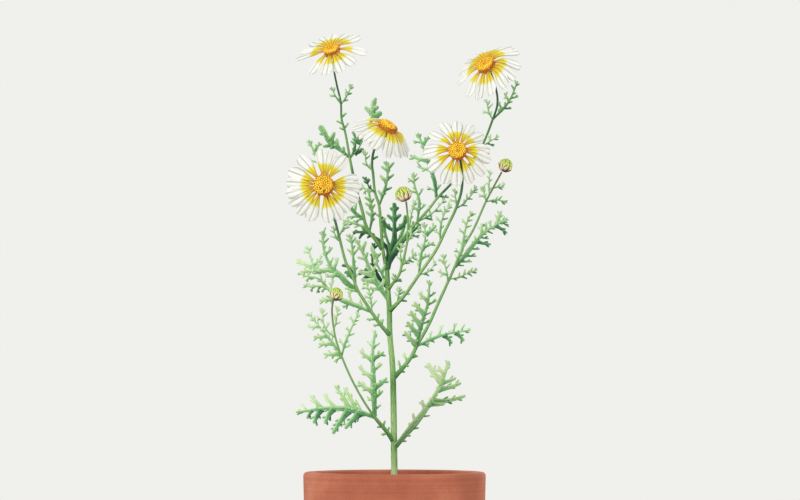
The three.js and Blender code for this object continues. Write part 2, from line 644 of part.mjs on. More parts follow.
const stalkSides = 5;
const carriers = { stem: new THREE.CatmullRomCurve3(mainRoute.map(place)) };
const carrierRadii = { stem: [stemRadius.foot, stemRadius.top] };
const carrierSides = { stem: 10 };
const stepLength = 17; // of a stalk
const stemRidge = 0.05; // how much further out every other edge of the stem is, as a share of its radius

const stepsOf = (curve) => Math.round(curve.getLength() / stepLength);

// What a stalk's foot is cut to, so that it sits against the rod that carries it.
function clearanceOf(name) {
  const radii = carrierRadii[name].map((radius) => radius * (1.01 + stemRidge) + seat);
  return rod(carriers[name], radii, carrierSides[name], stepsOf(carriers[name]));
}

function stalkSolid(name, stalk) {
  const curve = stalkCurve(stalk);
  carriers[name] = curve;
  carrierRadii[name] = stalk.radius;
  carrierSides[name] = stalkSides;
  const solids = [rod(curve, stalk.radius, stalkSides, stepsOf(curve))];
  solids.push(...stalk.leaves.map((one) => leafSolid(one, curve)));
  solids.push(...stalk.twigs.map((twig) => twigSolid(twig, curve)));
  if (stalk.head) solids.push(cupSolid(heads[stalk.head]));
  return stalk.carriers.reduce((solid, carrier) => solid.subtract(clearanceOf(carrier)), join(solids));
}

function stemSolid() {
  const curve = carriers.stem;
  const solids = [rod(curve, carrierRadii.stem, carrierSides.stem, stepsOf(curve), stemRidge)];
  solids.push(...mainLeaves.map((one) => leafSolid(one, curve)));
  return join(solids);
}

// Pot and soil
const lathe = (profile) =>
  new THREE.LatheGeometry(profile.map(([r, h]) => new THREE.Vector2(r, h)), potSides).rotateX(Math.PI / 2);

function postAt(x, y, radius, low, high, sides) {
  const post = new THREE.CylinderGeometry(radius, radius, high - low, sides).rotateX(Math.PI / 2);
  return solidOf(post.translate(x, y, (low + high) / 2));
}

// The inside radius of the pot at a height.
const potMouthRadius = potShoulderRadius + 4 - potWall;
const potInside = (height) =>
  THREE.MathUtils.mapLinear(height, 0, potHeight, potFootRadius - potWall, potMouthRadius);

function potSolid() {
  const rimFoot = potHeight - rimHeight;
  const wall = lathe([
    [0, 0], [potFootRadius, 0], [potShoulderRadius, rimFoot], [potRimRadius, rimFoot + 1.5],
    [potRimRadius + 1, potHeight - 2], [potRimRadius - 1, potHeight], [potInside(potHeight), potHeight - 0.5],
    [potInside(potFloor), potFloor], [0, potFloor],
  ]);
  const holes = Array.from({ length: drainHoles }, (_, i) => {
    const turn = (i / drainHoles) * Math.PI * 2;
    const [x, y] = [drainRing * Math.cos(turn), drainRing * Math.sin(turn)];
    return postAt(x, y, drainRadius, -1, potFloor + 1, drainSides);
  });
  return holes.reduce((pot, hole) => pot.subtract(hole), solidOf(wall));
}

const soilSwell = 1.1; // the height of the waves on top
const soilEdge = 3; // how far the bed falls at the pot's wall
const soilFlat = 10; // the radius round the stem that stays level

function soilSolid() {
  const edge = potInside(soilTop);
  const bed = lathe([
    [0, potFloor + seat], [potInside(potFloor) - seat, potFloor + seat],
    [potInside(soilTop - soilEdge) - seat, soilTop - soilEdge], [edge * 0.75, soilTop - 0.5],
    [edge * 0.4, soilTop], [0, soilTop],
  ]);
  reshape(bed, (spot) => {
    const inside = Math.hypot(spot.x, spot.y);
    const loose = spot.z > soilTop - soilEdge / 2 && inside > soilFlat && inside < edge * 0.9;
    if (loose) spot.z += soilSwell * Math.sin(spot.x * 0.31 + 1) * Math.cos(spot.y * 0.27);
    return spot;
  });
  const holeRadius = stemRadius.foot * (1.01 + stemRidge) + seat;
  const hole = postAt(0, 0, holeRadius, soilTop - stemDepth, soilTop + 5, potSides / 2);
  return solidOf(bed).subtract(hole);
}

// Colours and finish
const finish = (color, roughness) => new THREE.MeshStandardMaterial({ color, roughness, metalness: 0 });
const terracotta = finish(0xb5674a, 0.85);
const earth = finish(0x4a382b, 0.95);
const stemGreen = finish(0x7fa656, 0.6);
const leafGreen = finish(0x6d9f6f, 0.6);
const petalWhite = finish(0xf4f3ea, 0.6);
const discYellow = finish(0xe8a61c, 0.7);
const budGreen = finish(0xa9b24a, 0.65);

const plant = new THREE.Group();

function add(name, solid, material) {
  const mesh = new THREE.Mesh(geometryOf(solid), material);
  mesh.name = name;
  plant.add(mesh);
}

add("pot", potSolid(), terracotta);
add("soil", soilSolid(), earth);
add("stem", stemSolid(), stemGreen);
for (const [name, stalk] of Object.entries(stalks)) {
  add(`stalk_${name}`, stalkSolid(name, stalk), leafGreen);
}
for (const [name, head] of Object.entries(heads)) {
  add(`petals_${name}`, petalsSolid(head), petalWhite);
  add(`disc_${name}`, discSolid(head), discYellow);
}
for (const [name, bud] of Object.entries(buds)) add(`bud_${name}`, budSolid(bud), budGreen);

export default plant;
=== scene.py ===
import bpy
import numpy as np
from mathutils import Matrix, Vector


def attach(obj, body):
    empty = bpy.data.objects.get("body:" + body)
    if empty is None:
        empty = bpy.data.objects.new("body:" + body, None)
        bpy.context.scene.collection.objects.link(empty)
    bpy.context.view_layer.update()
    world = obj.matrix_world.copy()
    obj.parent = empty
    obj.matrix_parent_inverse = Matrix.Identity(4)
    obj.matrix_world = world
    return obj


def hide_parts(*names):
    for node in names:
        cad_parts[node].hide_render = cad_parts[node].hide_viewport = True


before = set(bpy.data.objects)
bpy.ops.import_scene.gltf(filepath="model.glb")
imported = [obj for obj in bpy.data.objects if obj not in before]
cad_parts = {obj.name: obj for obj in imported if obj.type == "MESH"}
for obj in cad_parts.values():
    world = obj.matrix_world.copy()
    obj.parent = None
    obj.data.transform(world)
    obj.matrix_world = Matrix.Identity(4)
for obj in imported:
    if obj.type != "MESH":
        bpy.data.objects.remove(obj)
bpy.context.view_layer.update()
print("frame:", len(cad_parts), "CAD nodes")

# The plan is a drawing of the plant from its front. A spot on it is across and down in plan steps, and its
# depth is in millimetres, minus towards the front. All other sizes are in metres.
plan = {"step": 0.0008, "across": 394.5, "down": 487.0, "soilTop": 0.118, "depth": 0.001}


def place(spots):
    # Rows of across, down and depth become rows of x, y and z. A row without a depth has none.
    rows = np.array([tuple(spot) + (0,) * (3 - len(spot)) for spot in spots], float)
    across, down, depth = rows.T
    return np.stack([(across - plan["across"]) * plan["step"], depth * plan["depth"],
                     plan["soilTop"] + (plan["down"] - down) * plan["step"]], 1)


# Camera
camera = {"across": 400.0, "down": 250.0, "away": 6.0, "frameWide": 0.64, "sensor": 36.0, "sees": 200.0}


def makeCamera():
    lens = bpy.data.cameras.new("camera")
    lens.sensor_width = camera["sensor"]
    lens.lens = camera["sensor"] * camera["away"] / camera["frameWide"]
    lens.clip_end = camera["sees"]
    holder = bpy.data.objects.new("camera", lens)
    middle = place([(camera["across"], camera["down"])])[0]
    holder.location = (middle[0], -camera["away"], middle[2])
    holder.rotation_euler = (np.pi / 2, 0, 0)
    bpy.context.scene.collection.objects.link(holder)
    bpy.context.scene.camera = holder


makeCamera()
print("camera: level, as the drawing is seen")


# The plant. Each leaf has a spine, the tips of its lobes, and how far its end lies behind its foot. Then come
# how much its sides twist, how wide its blades are, its tone, from 0 for a pale leaf to 1 for a dark one, how
# much broader its spine is than most, and the share of its length where it is broadest.
def leaf(spine, tips, reach=0.0, twist=0.65, width=1.0, tone=0.3, full=1.0, belly=0.3):
    return {"spine": spine, "tips": tips, "reach": reach, "twist": twist, "width": width, "tone": tone,
            "full": full, "belly": belly}


# Radii and tones are pairs of a share of the length and a value. Twigs are the tips of single small blades, and
# shaded spots are those near which the stalk is darker.
stem = {
    "route": [(394.5, 521.6, 0), (394.5, 487, 0), (394, 440, 0), (393.5, 400, -1), (392.6, 366, 0),
        (389.9, 335, 2), (389.4, 310, 2), (388, 289, 1), (387, 269, 0)],
    "radii": [(0, 0.00275), (1, 0.0019)],
    # The tones rise, so the stem is darker, near the forks of the left bud, right bud and right head stalks:
    # painted shade where they leave it.
    "tones": [(0.2, 0.12), (0.3, 0.5), (0.36, 0.24), (0.43, 0.3), (0.55, 0.56), (0.6, 0.36), (0.72, 0.34),
        (0.84, 0.54), (0.9, 0.4), (1, 0.5)],
    "leaves": [
        leaf([(394, 448), (413.8, 423.5), (427, 406), (438.7, 387), (448.6, 360)],
             [(402.4, 433.5), (406.7, 441), (409, 422), (411, 435.5), (413, 412.5), (419, 427.5), (422, 399),
             (430, 415), (445, 403), (465.5, 395), (427.5, 362), (461, 382), (456, 377), (438, 365)], -34,
             width=1.35, tone=0.2, full=1.4),
        leaf([(387.5, 301), (382.5, 291.5), (375, 279), (370, 269), (364.6, 256), (356.4, 239.5)],
             [(370, 288), (384, 279), (358.5, 271), (361, 279), (375, 266), (357.5, 257), (368, 252),
             (366, 241)], -14, twist=-0.4, width=1.6),
        leaf([(388, 288), (381, 272), (377, 264), (376, 253)],
             [(385, 264), (373, 262), (381, 253), (371, 246)], -7, twist=0.4, width=1.6, tone=0.38),
        # This dark leaf is painted shade: it fills a dark patch of shade between the stalks.
        leaf([(385, 290), (378, 276), (372.5, 262), (374.5, 243)],
             [(370, 254)], 8, twist=0.4, width=1.3, tone=0.85),
        leaf([(387.5, 299), (380, 287), (373, 278.5), (366.5, 273.5), (359.5, 271)],
             [(358.5, 275), (363, 279), (365, 268)], 14, twist=0.3, width=2.1, tone=0.8),
    ],
}

stalks = {}
stalks["leftBud"] = {
    "route": [(393.6, 441, 0), (386, 430.5, -4), (375.3, 417.4, -12), (364.7, 402, -18), (352, 379, -25),
        (342.4, 356.8, -30), (335.9, 337.5, -33), (332.4, 310, -35)],
    "radii": [(0, 0.0017), (0.19, 0.00145), (0.25, 0.0009), (1, 0.0007)],
    "twigs": [(377, 427, 4), (381, 434, -5), (385, 420, -3), (389, 427, 5)],
    "bud": "left",
    "leaves": [
        leaf([(375, 417), (354, 410), (331, 407.5), (296.5, 411)],
             [(355, 399), (355, 419.5), (343.5, 387), (345, 427.5), (334.5, 385), (333, 432.5), (323, 394),
             (325, 422.5), (309.7, 394.5), (314, 422), (301.5, 403), (307.5, 417.5)], -32, width=1.2, tone=0.37,
             full=1.2),
        leaf([(375.6, 416), (374, 387), (373, 350), (375.5, 330)],
             [(367, 396), (381, 404), (358, 381), (383, 390), (359, 366), (387, 377), (360, 350), (382, 363),
             (367, 340), (384, 351), (380, 342)], -16, twist=-0.65, width=1.2, tone=0.36, full=1.35),
        leaf([(341.5, 357), (327, 335), (308.5, 312.5)],
             [(334, 361), (324, 353), (333, 336), (319, 343), (324, 325), (314, 336), (315, 315), (308, 326)],
             -12, tone=0.25),
        leaf([(342.4, 356), (345.5, 343), (353, 325), (358.9, 312)],
             [(340, 338), (351, 345), (347, 326), (355, 333), (351, 316), (359, 320)], 8, twist=-0.65),
        leaf([(336, 337), (326.4, 329), (323, 316), (322.8, 307.4)],
             [(320, 328), (330, 322), (317, 316), (328, 312)], -8, tone=0.2),
        leaf([(334.5, 329), (336.5, 320), (338.5, 306)], [(341, 321), (334, 314), (342, 312)], -7, tone=0.25),
    ],
}
stalks["rightBud"] = {
    "route": [(393.3, 378, 0), (401.7, 369.3, 4), (411.9, 356, 9), (416.6, 346.5, 12), (428.9, 324.6, 18),
        (437.8, 304.8, 23), (447.8, 283, 27), (454.2, 269, 29), (461.9, 250, 32), (474, 229, 36),
        (486.8, 200.6, 40), (493.7, 187.6, 42)],
    "radii": [(0, 0.0018), (0.2, 0.0014), (0.6, 0.001), (1, 0.0007)],
    "twigs": [(398.5, 360, -4), (404, 353, 5), (409, 366, -5), (418, 356, 4), (405, 372, 5)],
    "bud": "right",
    "leaves": [
        leaf([(416, 347), (420.6, 326.5), (427.6, 303), (429.5, 280)],
             [(411.5, 343), (404.5, 331), (430, 321), (407, 321.5), (431, 312), (410.5, 310.5), (437, 300),
             (414.5, 301.5), (436, 292), (418.7, 292)], -24, width=1.15, tone=0.42),
        leaf([(417, 346), (443, 335), (470.7, 329.6)],
             [(429, 347), (432.3, 331), (435, 342.5), (443.4, 325), (452, 343.5), (457, 323), (464, 341),
             (465, 324)], -26, twist=-0.65, width=1.1, tone=0.34),
        leaf([(447.8, 283), (447.4, 274), (445, 265), (443, 254)],
             [(438, 271), (450, 263.5), (438.5, 258.5), (447.4, 260), (446.6, 253.8)], -10, tone=0.26),
        leaf([(449.5, 279.5), (459.9, 277.2), (466, 274), (477.8, 269.8)],
             [(460, 272), (467.4, 279), (465.5, 269), (472.8, 267.2), (472.6, 276.6)], -8, tone=0.36),
        leaf([(454.2, 269), (463, 259), (470, 250), (478, 240), (486, 232), (494, 226.5), (502, 222),
             (509.6, 219.5)],
             [(464.5, 265.6), (472.5, 261.5), (477, 256), (475.5, 235.5), (480.5, 249), (491.5, 244.5),
             (482.5, 223), (489.7, 238.6), (487, 222), (493.6, 233.6), (491.8, 220), (508, 233.5),
             (502.4, 210.5), (509.8, 227), (505.5, 216)], 24, twist=-0.65, width=1.05, tone=0.36),
        leaf([(454.8, 268), (458.4, 258.7), (462.2, 248.8), (463.7, 239.6), (465.5, 229), (468, 220),
             (472.5, 211.3)],
             [(455.2, 254), (456, 248), (470, 238), (457.4, 238.5), (459.3, 228), (472, 225), (462.2, 218.5),
             (473, 219.5), (468, 216), (476.3, 213.5)], -12),
        leaf([(486.8, 200.6), (484.8, 194), (482.5, 185.5)], [(479.2, 193.7), (486.2, 189), (486, 183)], -7),
        leaf([(489.3, 194.5), (489.4, 186), (490, 178), (490.5, 169.5)],
             [(487, 182), (493, 178.5), (487.6, 175.5)], -9, tone=0.25),
        leaf([(486.8, 200.6), (494, 199.8), (501.3, 200), (508.2, 202.3)],
             [(497.6, 203.6), (503, 195.5), (498.6, 196)], 8, width=1.15, tone=0.36),
        leaf([(493.7, 187.6), (498, 186.6), (505.2, 186.4)], [(501.3, 183), (505.8, 182.4)], 9, twist=-0.65),
    ],
}
stalks["leftHead"] = {
    "route": [(389.9, 335, 2), (381.7, 326, -4), (372.9, 313.8, -9), (363.3, 299, -14), (357.6, 289.5, -17),
        (352.5, 275.5, -21), (346.2, 262.3, -25), (339.2, 235.5, -31), (335.4, 220.8, -34), (328, 200, -39)],
    "radii": [(0, 0.0016), (0.3, 0.0012), (1, 0.0009)],
    "twigs": [(366.5, 319, 5), (373, 325, -5), (379, 313, -4), (383, 319, 5), (345, 288, -6)],
    "head": "left",
    "leaves": [
        leaf([(357.6, 289.5), (350, 284.4), (342, 277), (332.4, 268), (327.6, 260), (324.5, 251.5),
             (323.2, 243), (322.2, 231)],
             [(338, 257.5), (325.5, 276), (333.3, 257), (332.6, 247), (319, 240), (329, 238), (326.4, 234),
             (325.8, 227.2)], -10, width=1.2, tone=0.34),
        leaf([(357.6, 289.5), (348, 283.5), (340, 276), (333, 271), (324, 270.3), (315.5, 270), (312, 262),
             (310, 254), (306.8, 245.5)],
             [(300.5, 271.8), (321, 261), (296.5, 259.3), (322.3, 255.6), (303.5, 250.4), (312, 246.4)], 16,
             twist=-0.65, width=0.9, tone=0.26),
        leaf([(357.6, 289.5), (348, 283.5), (339, 273.5), (331, 269), (322, 270.8), (311.5, 271.8)],
             [(318, 274)], 13, twist=-0.65, width=1.9, full=1.5),
        leaf([(371, 311), (360, 307), (350, 303), (341, 299.7), (333, 294), (328, 288.5), (321, 280.5),
             (315.5, 277.5), (308, 276.5), (297.6, 272.4)],
             [(360, 299), (356, 312), (348, 291), (343, 308), (332.4, 279), (319, 300.4), (324.6, 299.4),
             (325, 279), (319.7, 271.6), (306.5, 272), (305, 281)], 28, twist=-0.5, width=0.95, tone=0.28),
        leaf([(371, 311), (350, 302.5), (341, 299), (333, 293), (325, 287.3), (318, 286), (310, 286.6),
             (302.8, 284.6)],
             [(321, 292), (316.5, 293.4), (310, 291), (308.5, 282.4)], 24, twist=-0.5, width=0.95),
        leaf([(354, 280), (349, 274), (345, 271.5)],
             [(346.5, 276)], 8, twist=0.3, width=2.6, tone=0.62, full=1.3),
        leaf([(353, 277), (350, 268.5), (342, 265)], [(345, 263)], 6, twist=0.3, width=2, tone=0.85),
        leaf([(355.5, 284), (353.6, 263), (352, 246), (349.2, 234)],
             [(358, 267), (347, 264), (358, 249), (347, 249), (356, 237), (346, 239)], 9, twist=0.4, width=1.25,
             tone=0.35),
        leaf([(372, 312.5), (371, 301), (369, 291.5), (366, 281)],
             [(377, 300), (364, 295), (375, 289), (362, 286)], -6, tone=0.25),
        leaf([(339.5, 237), (346, 221)], [(350, 227), (343, 223)], 6),
        leaf([(340.3, 242), (337, 239), (335, 234), (333.6, 226)],
             [(330.4, 230.5), (330.4, 236)], 5, tone=0.25),
    ],
}
stalks["rightHead"] = {
    "route": [(389.4, 311, 2), (398.3, 302.3, -3), (406, 293.4, -7), (418.7, 275, -13), (435.9, 250, -19),
        (446, 229, -23), (456, 208, -27), (461.3, 190.4, -30), (461.9, 174.5, -32), (459.5, 160, -34.5)],
    "radii": [(0, 0.0017), (0.15, 0.0013), (0.5, 0.0012), (1, 0.0009)],
    "twigs": [(407, 301, 4), (410, 294, -5)],
    "head": "right",
    "leaves": [
        leaf([(418.7, 275), (421, 254), (425, 239), (424, 222)],
             [(414, 256), (430, 254), (417, 243), (434, 242), (418, 229), (436, 225)], 10, tone=0.35),
        leaf([(418.7, 275), (429, 271), (436, 261)], [(429, 276), (434, 270), (433, 258)], 8, tone=0.36),
        leaf([(440, 242), (440, 231), (443, 216), (451, 204)],
             [(434, 229), (436, 216), (448, 218), (444, 206)], -8, tone=0.35),
        leaf([(456, 208), (455.6, 200), (455, 196), (454.4, 188.5)],
             [(449.2, 199), (450.4, 195), (451.8, 190), (457.4, 192)], 8),
        leaf([(455.8, 209), (463, 204.4), (466.8, 199.8), (470.6, 196), (473.8, 190.6), (476.8, 186.6)],
             [(467.4, 206), (466.6, 194), (472.4, 199.4), (471, 188.8), (477.4, 192.4)], 9, twist=-0.65,
             tone=0.35),
        leaf([(397, 304), (399.9, 286.4)], [(394, 292), (405, 291)], 8),
    ],
}
stalks["middleBud"] = {
    "route": [(388, 290, 1), (393.5, 282.5, -4), (399.5, 274, -9), (401.5, 266, -12), (405, 253, -16),
        (407.4, 239, -19), (407.7, 218, -22)],
    "radii": [(0, 0.0012), (1, 0.0007)],
    "twigs": [(402, 281, 4), (406, 269, -4)],
    "bud": "middle",
    "leaves": [
        leaf([(401.5, 266), (408.5, 260), (417, 254.5)], [(405, 254), (414, 262), (413, 248)], 6, tone=0.35),
        leaf([(401.5, 266), (400.4, 253), (402, 243)], [(396, 256), (397, 247)], -6),
        leaf([(407, 243), (412, 235), (421, 229)], [(411, 228), (419, 238)], -6, tone=0.35),
        leaf([(392.5, 284), (395, 280), (395.5, 274)], [(391.5, 277), (401.5, 279)], -6, tone=0.4),
    ],
}
stalks["sideHead"] = {
    "route": [(386.6, 270, 0), (383, 250, 5), (381, 227, 8), (379, 205, 10), (374.9, 191.7, 12), (373, 173, 13),
        (372, 165, 13.5), (373, 154, 14), (376.5, 144.4, 14)],
    "radii": [(0, 0.0014), (0.5, 0.0011), (1, 0.0009)],
    "twigs": [(378, 156, 4), (386, 218, -5), (376, 214, 4)],
    "head": "side",
    "leaves": [
        leaf([(372.5, 171), (366.6, 164), (364.7, 150)], [(362, 163), (370, 155)], -6),
        leaf([(379, 205), (383, 194), (387.4, 176), (386, 161)],
             [(378, 190), (392, 187), (380, 175), (394, 174), (381, 166), (394, 162)], -10, width=1.6,
             tone=0.42),
        leaf([(375, 193), (368, 189.5), (359, 187.8)], [(361, 183), (363, 194)], -9, tone=0.15),
        leaf([(375, 193), (369, 187), (365.5, 176.6)], [(370, 179)], -8, width=1.2, tone=0.8),
        leaf([(386.5, 263), (388, 252), (384, 244.5), (376, 238), (366, 233), (352.5, 232)],
             [(361, 225), (359, 239), (367, 238)], 24, twist=0.3, width=1.7, tone=0.7),
    ],
}
stalks["highHead"] = {
    "route": [(387.4, 270, 0), (394.6, 249.7, -3), (406, 234, -2), (417.6, 221.5, 3), (429.7, 208, 8),
        (436.5, 199, 11), (448.5, 186.6, 15), (466, 168, 18), (482, 146, 19), (493, 119, 19), (497.4, 106, 19),
        (497.7, 96, 19), (494.9, 83.4, 18)],
    "radii": [(0, 0.0016), (0.15, 0.0012), (0.4, 0.001), (1, 0.0008)],
    "twigs": [(449, 197, 5), (455, 171, 5), (473, 164, -4)],
    "shaded": [(446, 188), (391, 258)],
    "head": "high",
    "leaves": [
        leaf([(417.6, 221.5), (419, 201), (414.4, 185), (413.5, 172)],
             [(412, 205), (426, 204), (409, 190), (423, 188), (408, 178), (419, 177)], -12, width=1.1,
             tone=0.35),
        leaf([(417.6, 221.5), (431, 214), (439, 206), (445, 198)],
             [(429, 205), (433, 220), (443, 211)], 14, tone=0.35),
        leaf([(436.5, 199), (434, 180), (427, 160), (423, 147), (418, 132)],
             [(427, 186), (441, 184), (417, 166), (437, 165), (410, 155), (431, 150), (413, 140), (429, 135)],
             24, width=1.1, tone=0.5),
        leaf([(482, 146), (490, 141), (499, 136)], [(491, 134), (494, 146)], -8),
        leaf([(493, 119), (489, 111.5), (486.6, 99)], [(483, 110), (493, 103)], -7),
        leaf([(493, 119), (502.5, 109.6), (510, 100), (518.4, 80.3)],
             [(500, 101), (512, 108), (505, 92), (519, 96), (512, 84)], 10, twist=-0.65, tone=0.42),
        leaf([(409, 231), (411, 216), (415.7, 200)], [(406, 214), (411, 205)], 10, twist=0.4),
        leaf([(388.6, 262), (391.8, 251), (394.2, 239), (394.3, 226), (394.2, 202.5)],
             [(387, 214.6), (401, 214), (390, 207.5), (398.6, 207)], 17, twist=0.3, width=2.1, tone=0.72,
             full=1.1),
        leaf([(388.6, 262), (391.8, 250), (393.8, 239), (393.8, 231.5), (388.5, 227.8), (384, 223),
             (382, 216.5)],
             [(388.5, 223.5)], 16, twist=0.3, width=1.9, tone=0.74, full=1.3),
        leaf([(388.6, 262), (391.8, 250), (394, 239), (394.8, 231.5), (400, 227.8), (404.2, 223), (406, 215)],
             [(400, 223.5)], 18, twist=0.3, width=1.9, tone=0.7, full=1.3),
        leaf([(388.6, 262), (390.5, 251), (387.5, 241), (384.5, 232), (383.5, 224)],
             [(383, 236)], 14, twist=0.3, width=1.9, tone=0.5, full=1.2),
        leaf([(388.6, 262), (393, 250), (398, 241), (402, 232.5), (404.2, 224)],
             [(403, 238)], 16, twist=0.3, width=1.9, tone=0.5, full=1.2),
        leaf([(389, 264), (400, 246), (408, 236), (420.5, 224)],
             [(403, 235), (413, 221)], 14, twist=0.3, width=1.6, tone=0.72),
    ],
}
stalks["topHead"] = {
    "route": [(382.8, 250, 5), (375.6, 240, 9), (366.6, 227, 14), (361.5, 208, 19), (356.1, 189.2, 23),
        (352, 170, 26), (349.5, 157, 28), (345, 132, 30), (341.3, 118, 31), (340.5, 101.5, 32), (336.5, 84, 33),
        (333.6, 68, 33)],
    "radii": [(0, 0.0014), (0.35, 0.0012), (0.6, 0.0009), (1, 0.0007)],
    "twigs": [(339, 127, -4), (348, 122, 4), (336, 120, -4), (346, 112, 4), (344, 220, 5)],
    "shaded": [(357, 192), (353, 178)],
    "head": "top",
    "leaves": [
        leaf([(363.5, 220), (355, 213), (345, 200), (332, 183), (320, 165), (308, 139)],
             [(347, 217), (356, 203), (354, 222), (352, 206), (325, 155), (311, 160), (319, 141)], 20,
             twist=0.5, width=1.1, tone=0.4),
        leaf([(349.5, 157), (342, 151), (334, 144), (328, 139), (324, 132), (319.4, 125)],
             [(339.5, 155.5), (343, 146), (322.3, 145.8), (334, 131.5), (336.5, 138), (329.5, 148), (319, 133)],
             -14, twist=-0.4, width=1.9, tone=0.42, full=1.8, belly=0.5),
        leaf([(350.5, 158.5), (353, 152), (354.6, 145), (354.8, 138), (352.2, 130.6)],
             [(363.4, 148.2), (350.3, 140.2), (363.7, 132.1)], 22, twist=0.3, width=1.9, tone=0.58, full=1.3,
             belly=0.35),
        leaf([(350.5, 158.5), (358, 148), (367, 130), (371.6, 117), (371.9, 110), (373, 103), (375.6, 96.5)],
             [(378.3, 105), (381.2, 110.4), (364.4, 105.6)], 24, twist=0.3, width=2.7, tone=0.42, full=0.78,
             belly=0.94),
        leaf([(370.5, 231), (372, 215), (370, 199), (367.5, 188)],
             [(365.5, 211), (376, 212), (365, 203), (375, 204), (364.5, 197), (374, 198)], -10, width=1.6,
             tone=0.4),
        leaf([(340.5, 103), (335, 95), (331, 86)], [(329, 94)], -6, tone=0.4),
        leaf([(340.5, 103), (347, 94), (352, 83)], [(352, 92), (345, 88)], 6, tone=0.4),
    ],
}

# Flower heads. A head faces out of its disc. Reach is the length of its petals from its middle, droop the angle
# that they turn back by, hang how far they sink by their own weight, and foot a petal's width at its foot as a
# share of its full width. The disc has a radius and a rise. Looks are the ways in which the petals lie when
# seen from the front, in degrees up from the right.
heads = {
    "left": {
        "at": (324, 186, -50), "faces": (0.05, -1, 0.09), "reach": 0.0322, "droop": 0.3, "hang": 0.06,
        "foot": 0.12, "disc": (0.0083, 0.0026),
        "looks": (14, -1, -19, -41, -61, -81, -113, -134, -154, -170, 172, 154, 127, 93, 75, 54)},
    "right": {
        "at": (457, 152, -43), "faces": (0.1, -0.98, 0.18), "reach": 0.0299, "droop": 0.37, "hang": 0.26,
        "foot": 0.15, "disc": (0.0072, 0.0022),
        "looks": (88, 65, 42, 14, -3, -31, -60, -91, -116, -155, 175, 166, 136, 110)},
    "top": {
        "at": (331, 49, 28), "faces": (-0.24, -0.56, 0.79), "reach": 0.0315, "droop": 0.2, "hang": 0.1,
        "foot": 0.27, "disc": (0.0069, 0.0004),
        "looks": (60, 35, 7, -25, -62, -106, -139, -172, 172, 147, 118, 88)},
    "high": {
        "at": (486.2, 64.8, 12), "faces": (-0.45, -0.7, 0.55), "reach": 0.0322, "droop": 0.09, "hang": 0.6,
        "foot": 0.28, "disc": (0.0075, 0.0014),
        "looks": (171, 154, 132, 103, 74, 58, 44, 20, -3, -31, -77, -107, -133, -165)},
    "side": {
        "at": (387, 127.6, 12), "faces": (0.47, -0.38, 0.8), "reach": 0.0322, "droop": 0.67, "hang": 0.02,
        "foot": 0.34, "disc": (0.0078, 0.0034),
        "looks": (145, 161, 180, -168, -129, -67, -46, -32, -20, 15, 40, 62, 85, 112)},
}

# Buds: the middle, the way that the tip faces, and the half width and half length.
buds = {
    "right": {"at": (506.3, 164.7, 43), "faces": (0.49, 0, 0.87), "radius": 0.0056, "half": 0.0054},
    "middle": {"at": (403.3, 194.2, -24.5), "faces": (-0.37, 0, 0.93), "radius": 0.0066, "half": 0.006},
    "left": {"at": (336.6, 293.7, -36), "faces": (0.43, 0, 0.9), "radius": 0.0053, "half": 0.0051},
}


# Surfaces
def unit(rows):
    return rows / np.maximum(np.linalg.norm(rows, axis=-1, keepdims=True), 1e-12)


def smooth(low, high, values):
    # 0 below low, 1 above high, and an even S between them.
    share = np.clip((values - low) / (high - low), 0, 1)
    return share * share * (3 - 2 * share)


def circle(many, shift=0.0):
    # Even turns all round, in radians, shifted by a share of one.
    return 2 * np.pi * (np.arange(many) + shift) / many


def spoke(turns, right, up):
    # For each turn, the way that lies that far round from right towards up.
    return np.cos(turns)[..., None] * right + np.sin(turns)[..., None] * up


def course(points, steps, fine=24):
    # A centripetal Catmull-Rom curve through the points, cut into even steps along its length.
    points = np.asarray(points, float)
    ends = np.vstack([2 * points[0] - points[1], points, 2 * points[-1] - points[-2]])
    p0, p1, p2, p3 = ends[:-3, None], ends[1:-2, None], ends[2:-1, None], ends[3:, None]
    d0, d1, d2 = (np.linalg.norm(b - a, axis=-1, keepdims=True) ** 0.5
                  for a, b in ((p0, p1), (p1, p2), (p2, p3)))
    leave = ((p1 - p0) / d0 - (p2 - p0) / (d0 + d1) + (p2 - p1) / d1) * d1
    reach = ((p2 - p1) / d1 - (p3 - p1) / (d1 + d2) + (p3 - p2) / d2) * d1
    w = (np.arange(fine) / fine)[None, :, None]
    line = ((2 * w**3 - 3 * w**2 + 1) * p1 + (w**3 - 2 * w**2 + w) * leave
            + (3 * w**2 - 2 * w**3) * p2 + (w**3 - w**2) * reach)
    line = np.vstack([line.reshape(-1, 3), points[-1]])
    walked = np.concatenate([[0], np.cumsum(np.linalg.norm(np.diff(line, axis=0), axis=1))])
    even = np.linspace(0, walked[-1], steps + 1)
    return np.stack([np.interp(even, walked, line[:, i]) for i in range(3)], 1), walked[-1]


def bow(root, middle, tip, t):
    # A quadratic arc: (1 - t)^2 root + 2 t (1 - t) middle + t^2 tip.
    return (1 - t) ** 2 * root + 2 * t * (1 - t) * middle + t * t * tip


shadeWay = (0.5, 0.0, -0.87)  # to the lower right, where a plant lit from its upper left is darker


def sweep(paths, halfWide, halfThick, fronts, around, channel=0.0, lift=0.0):
    # Rings round the inner points of each path, whose two end points are poles. At angle v a ring stands
    # halfWide cos v across the path and halfThick sin v to its front. Channel times halfWide cos^2 v raises
    # its edges, and lift is a share by which each angle stands out further. Shade side is how far a point lies
    # to the lower right of its path, as a share of the half width, where the finishes paint shade.
    ways = unit(np.gradient(paths, axis=1))[:, 1:-1]
    fronts = np.broadcast_to(fronts, ways.shape)
    fronts = unit(fronts - np.sum(fronts * ways, -1, keepdims=True) * ways)
    across = np.cross(fronts, ways)
    v = circle(around)
    wide = halfWide[..., None] * np.cos(v) * (1 + lift)
    deep = halfThick[..., None] * np.sin(v) * (1 + lift) + channel * halfWide[..., None] * np.cos(v) ** 2
    rings = paths[:, 1:-1, None] + across[:, :, None] * wide[..., None] + fronts[:, :, None] * deep[..., None]
    return rings, paths[:, [0, -1]], v, (across @ shadeWay)[..., None] * np.cos(v)


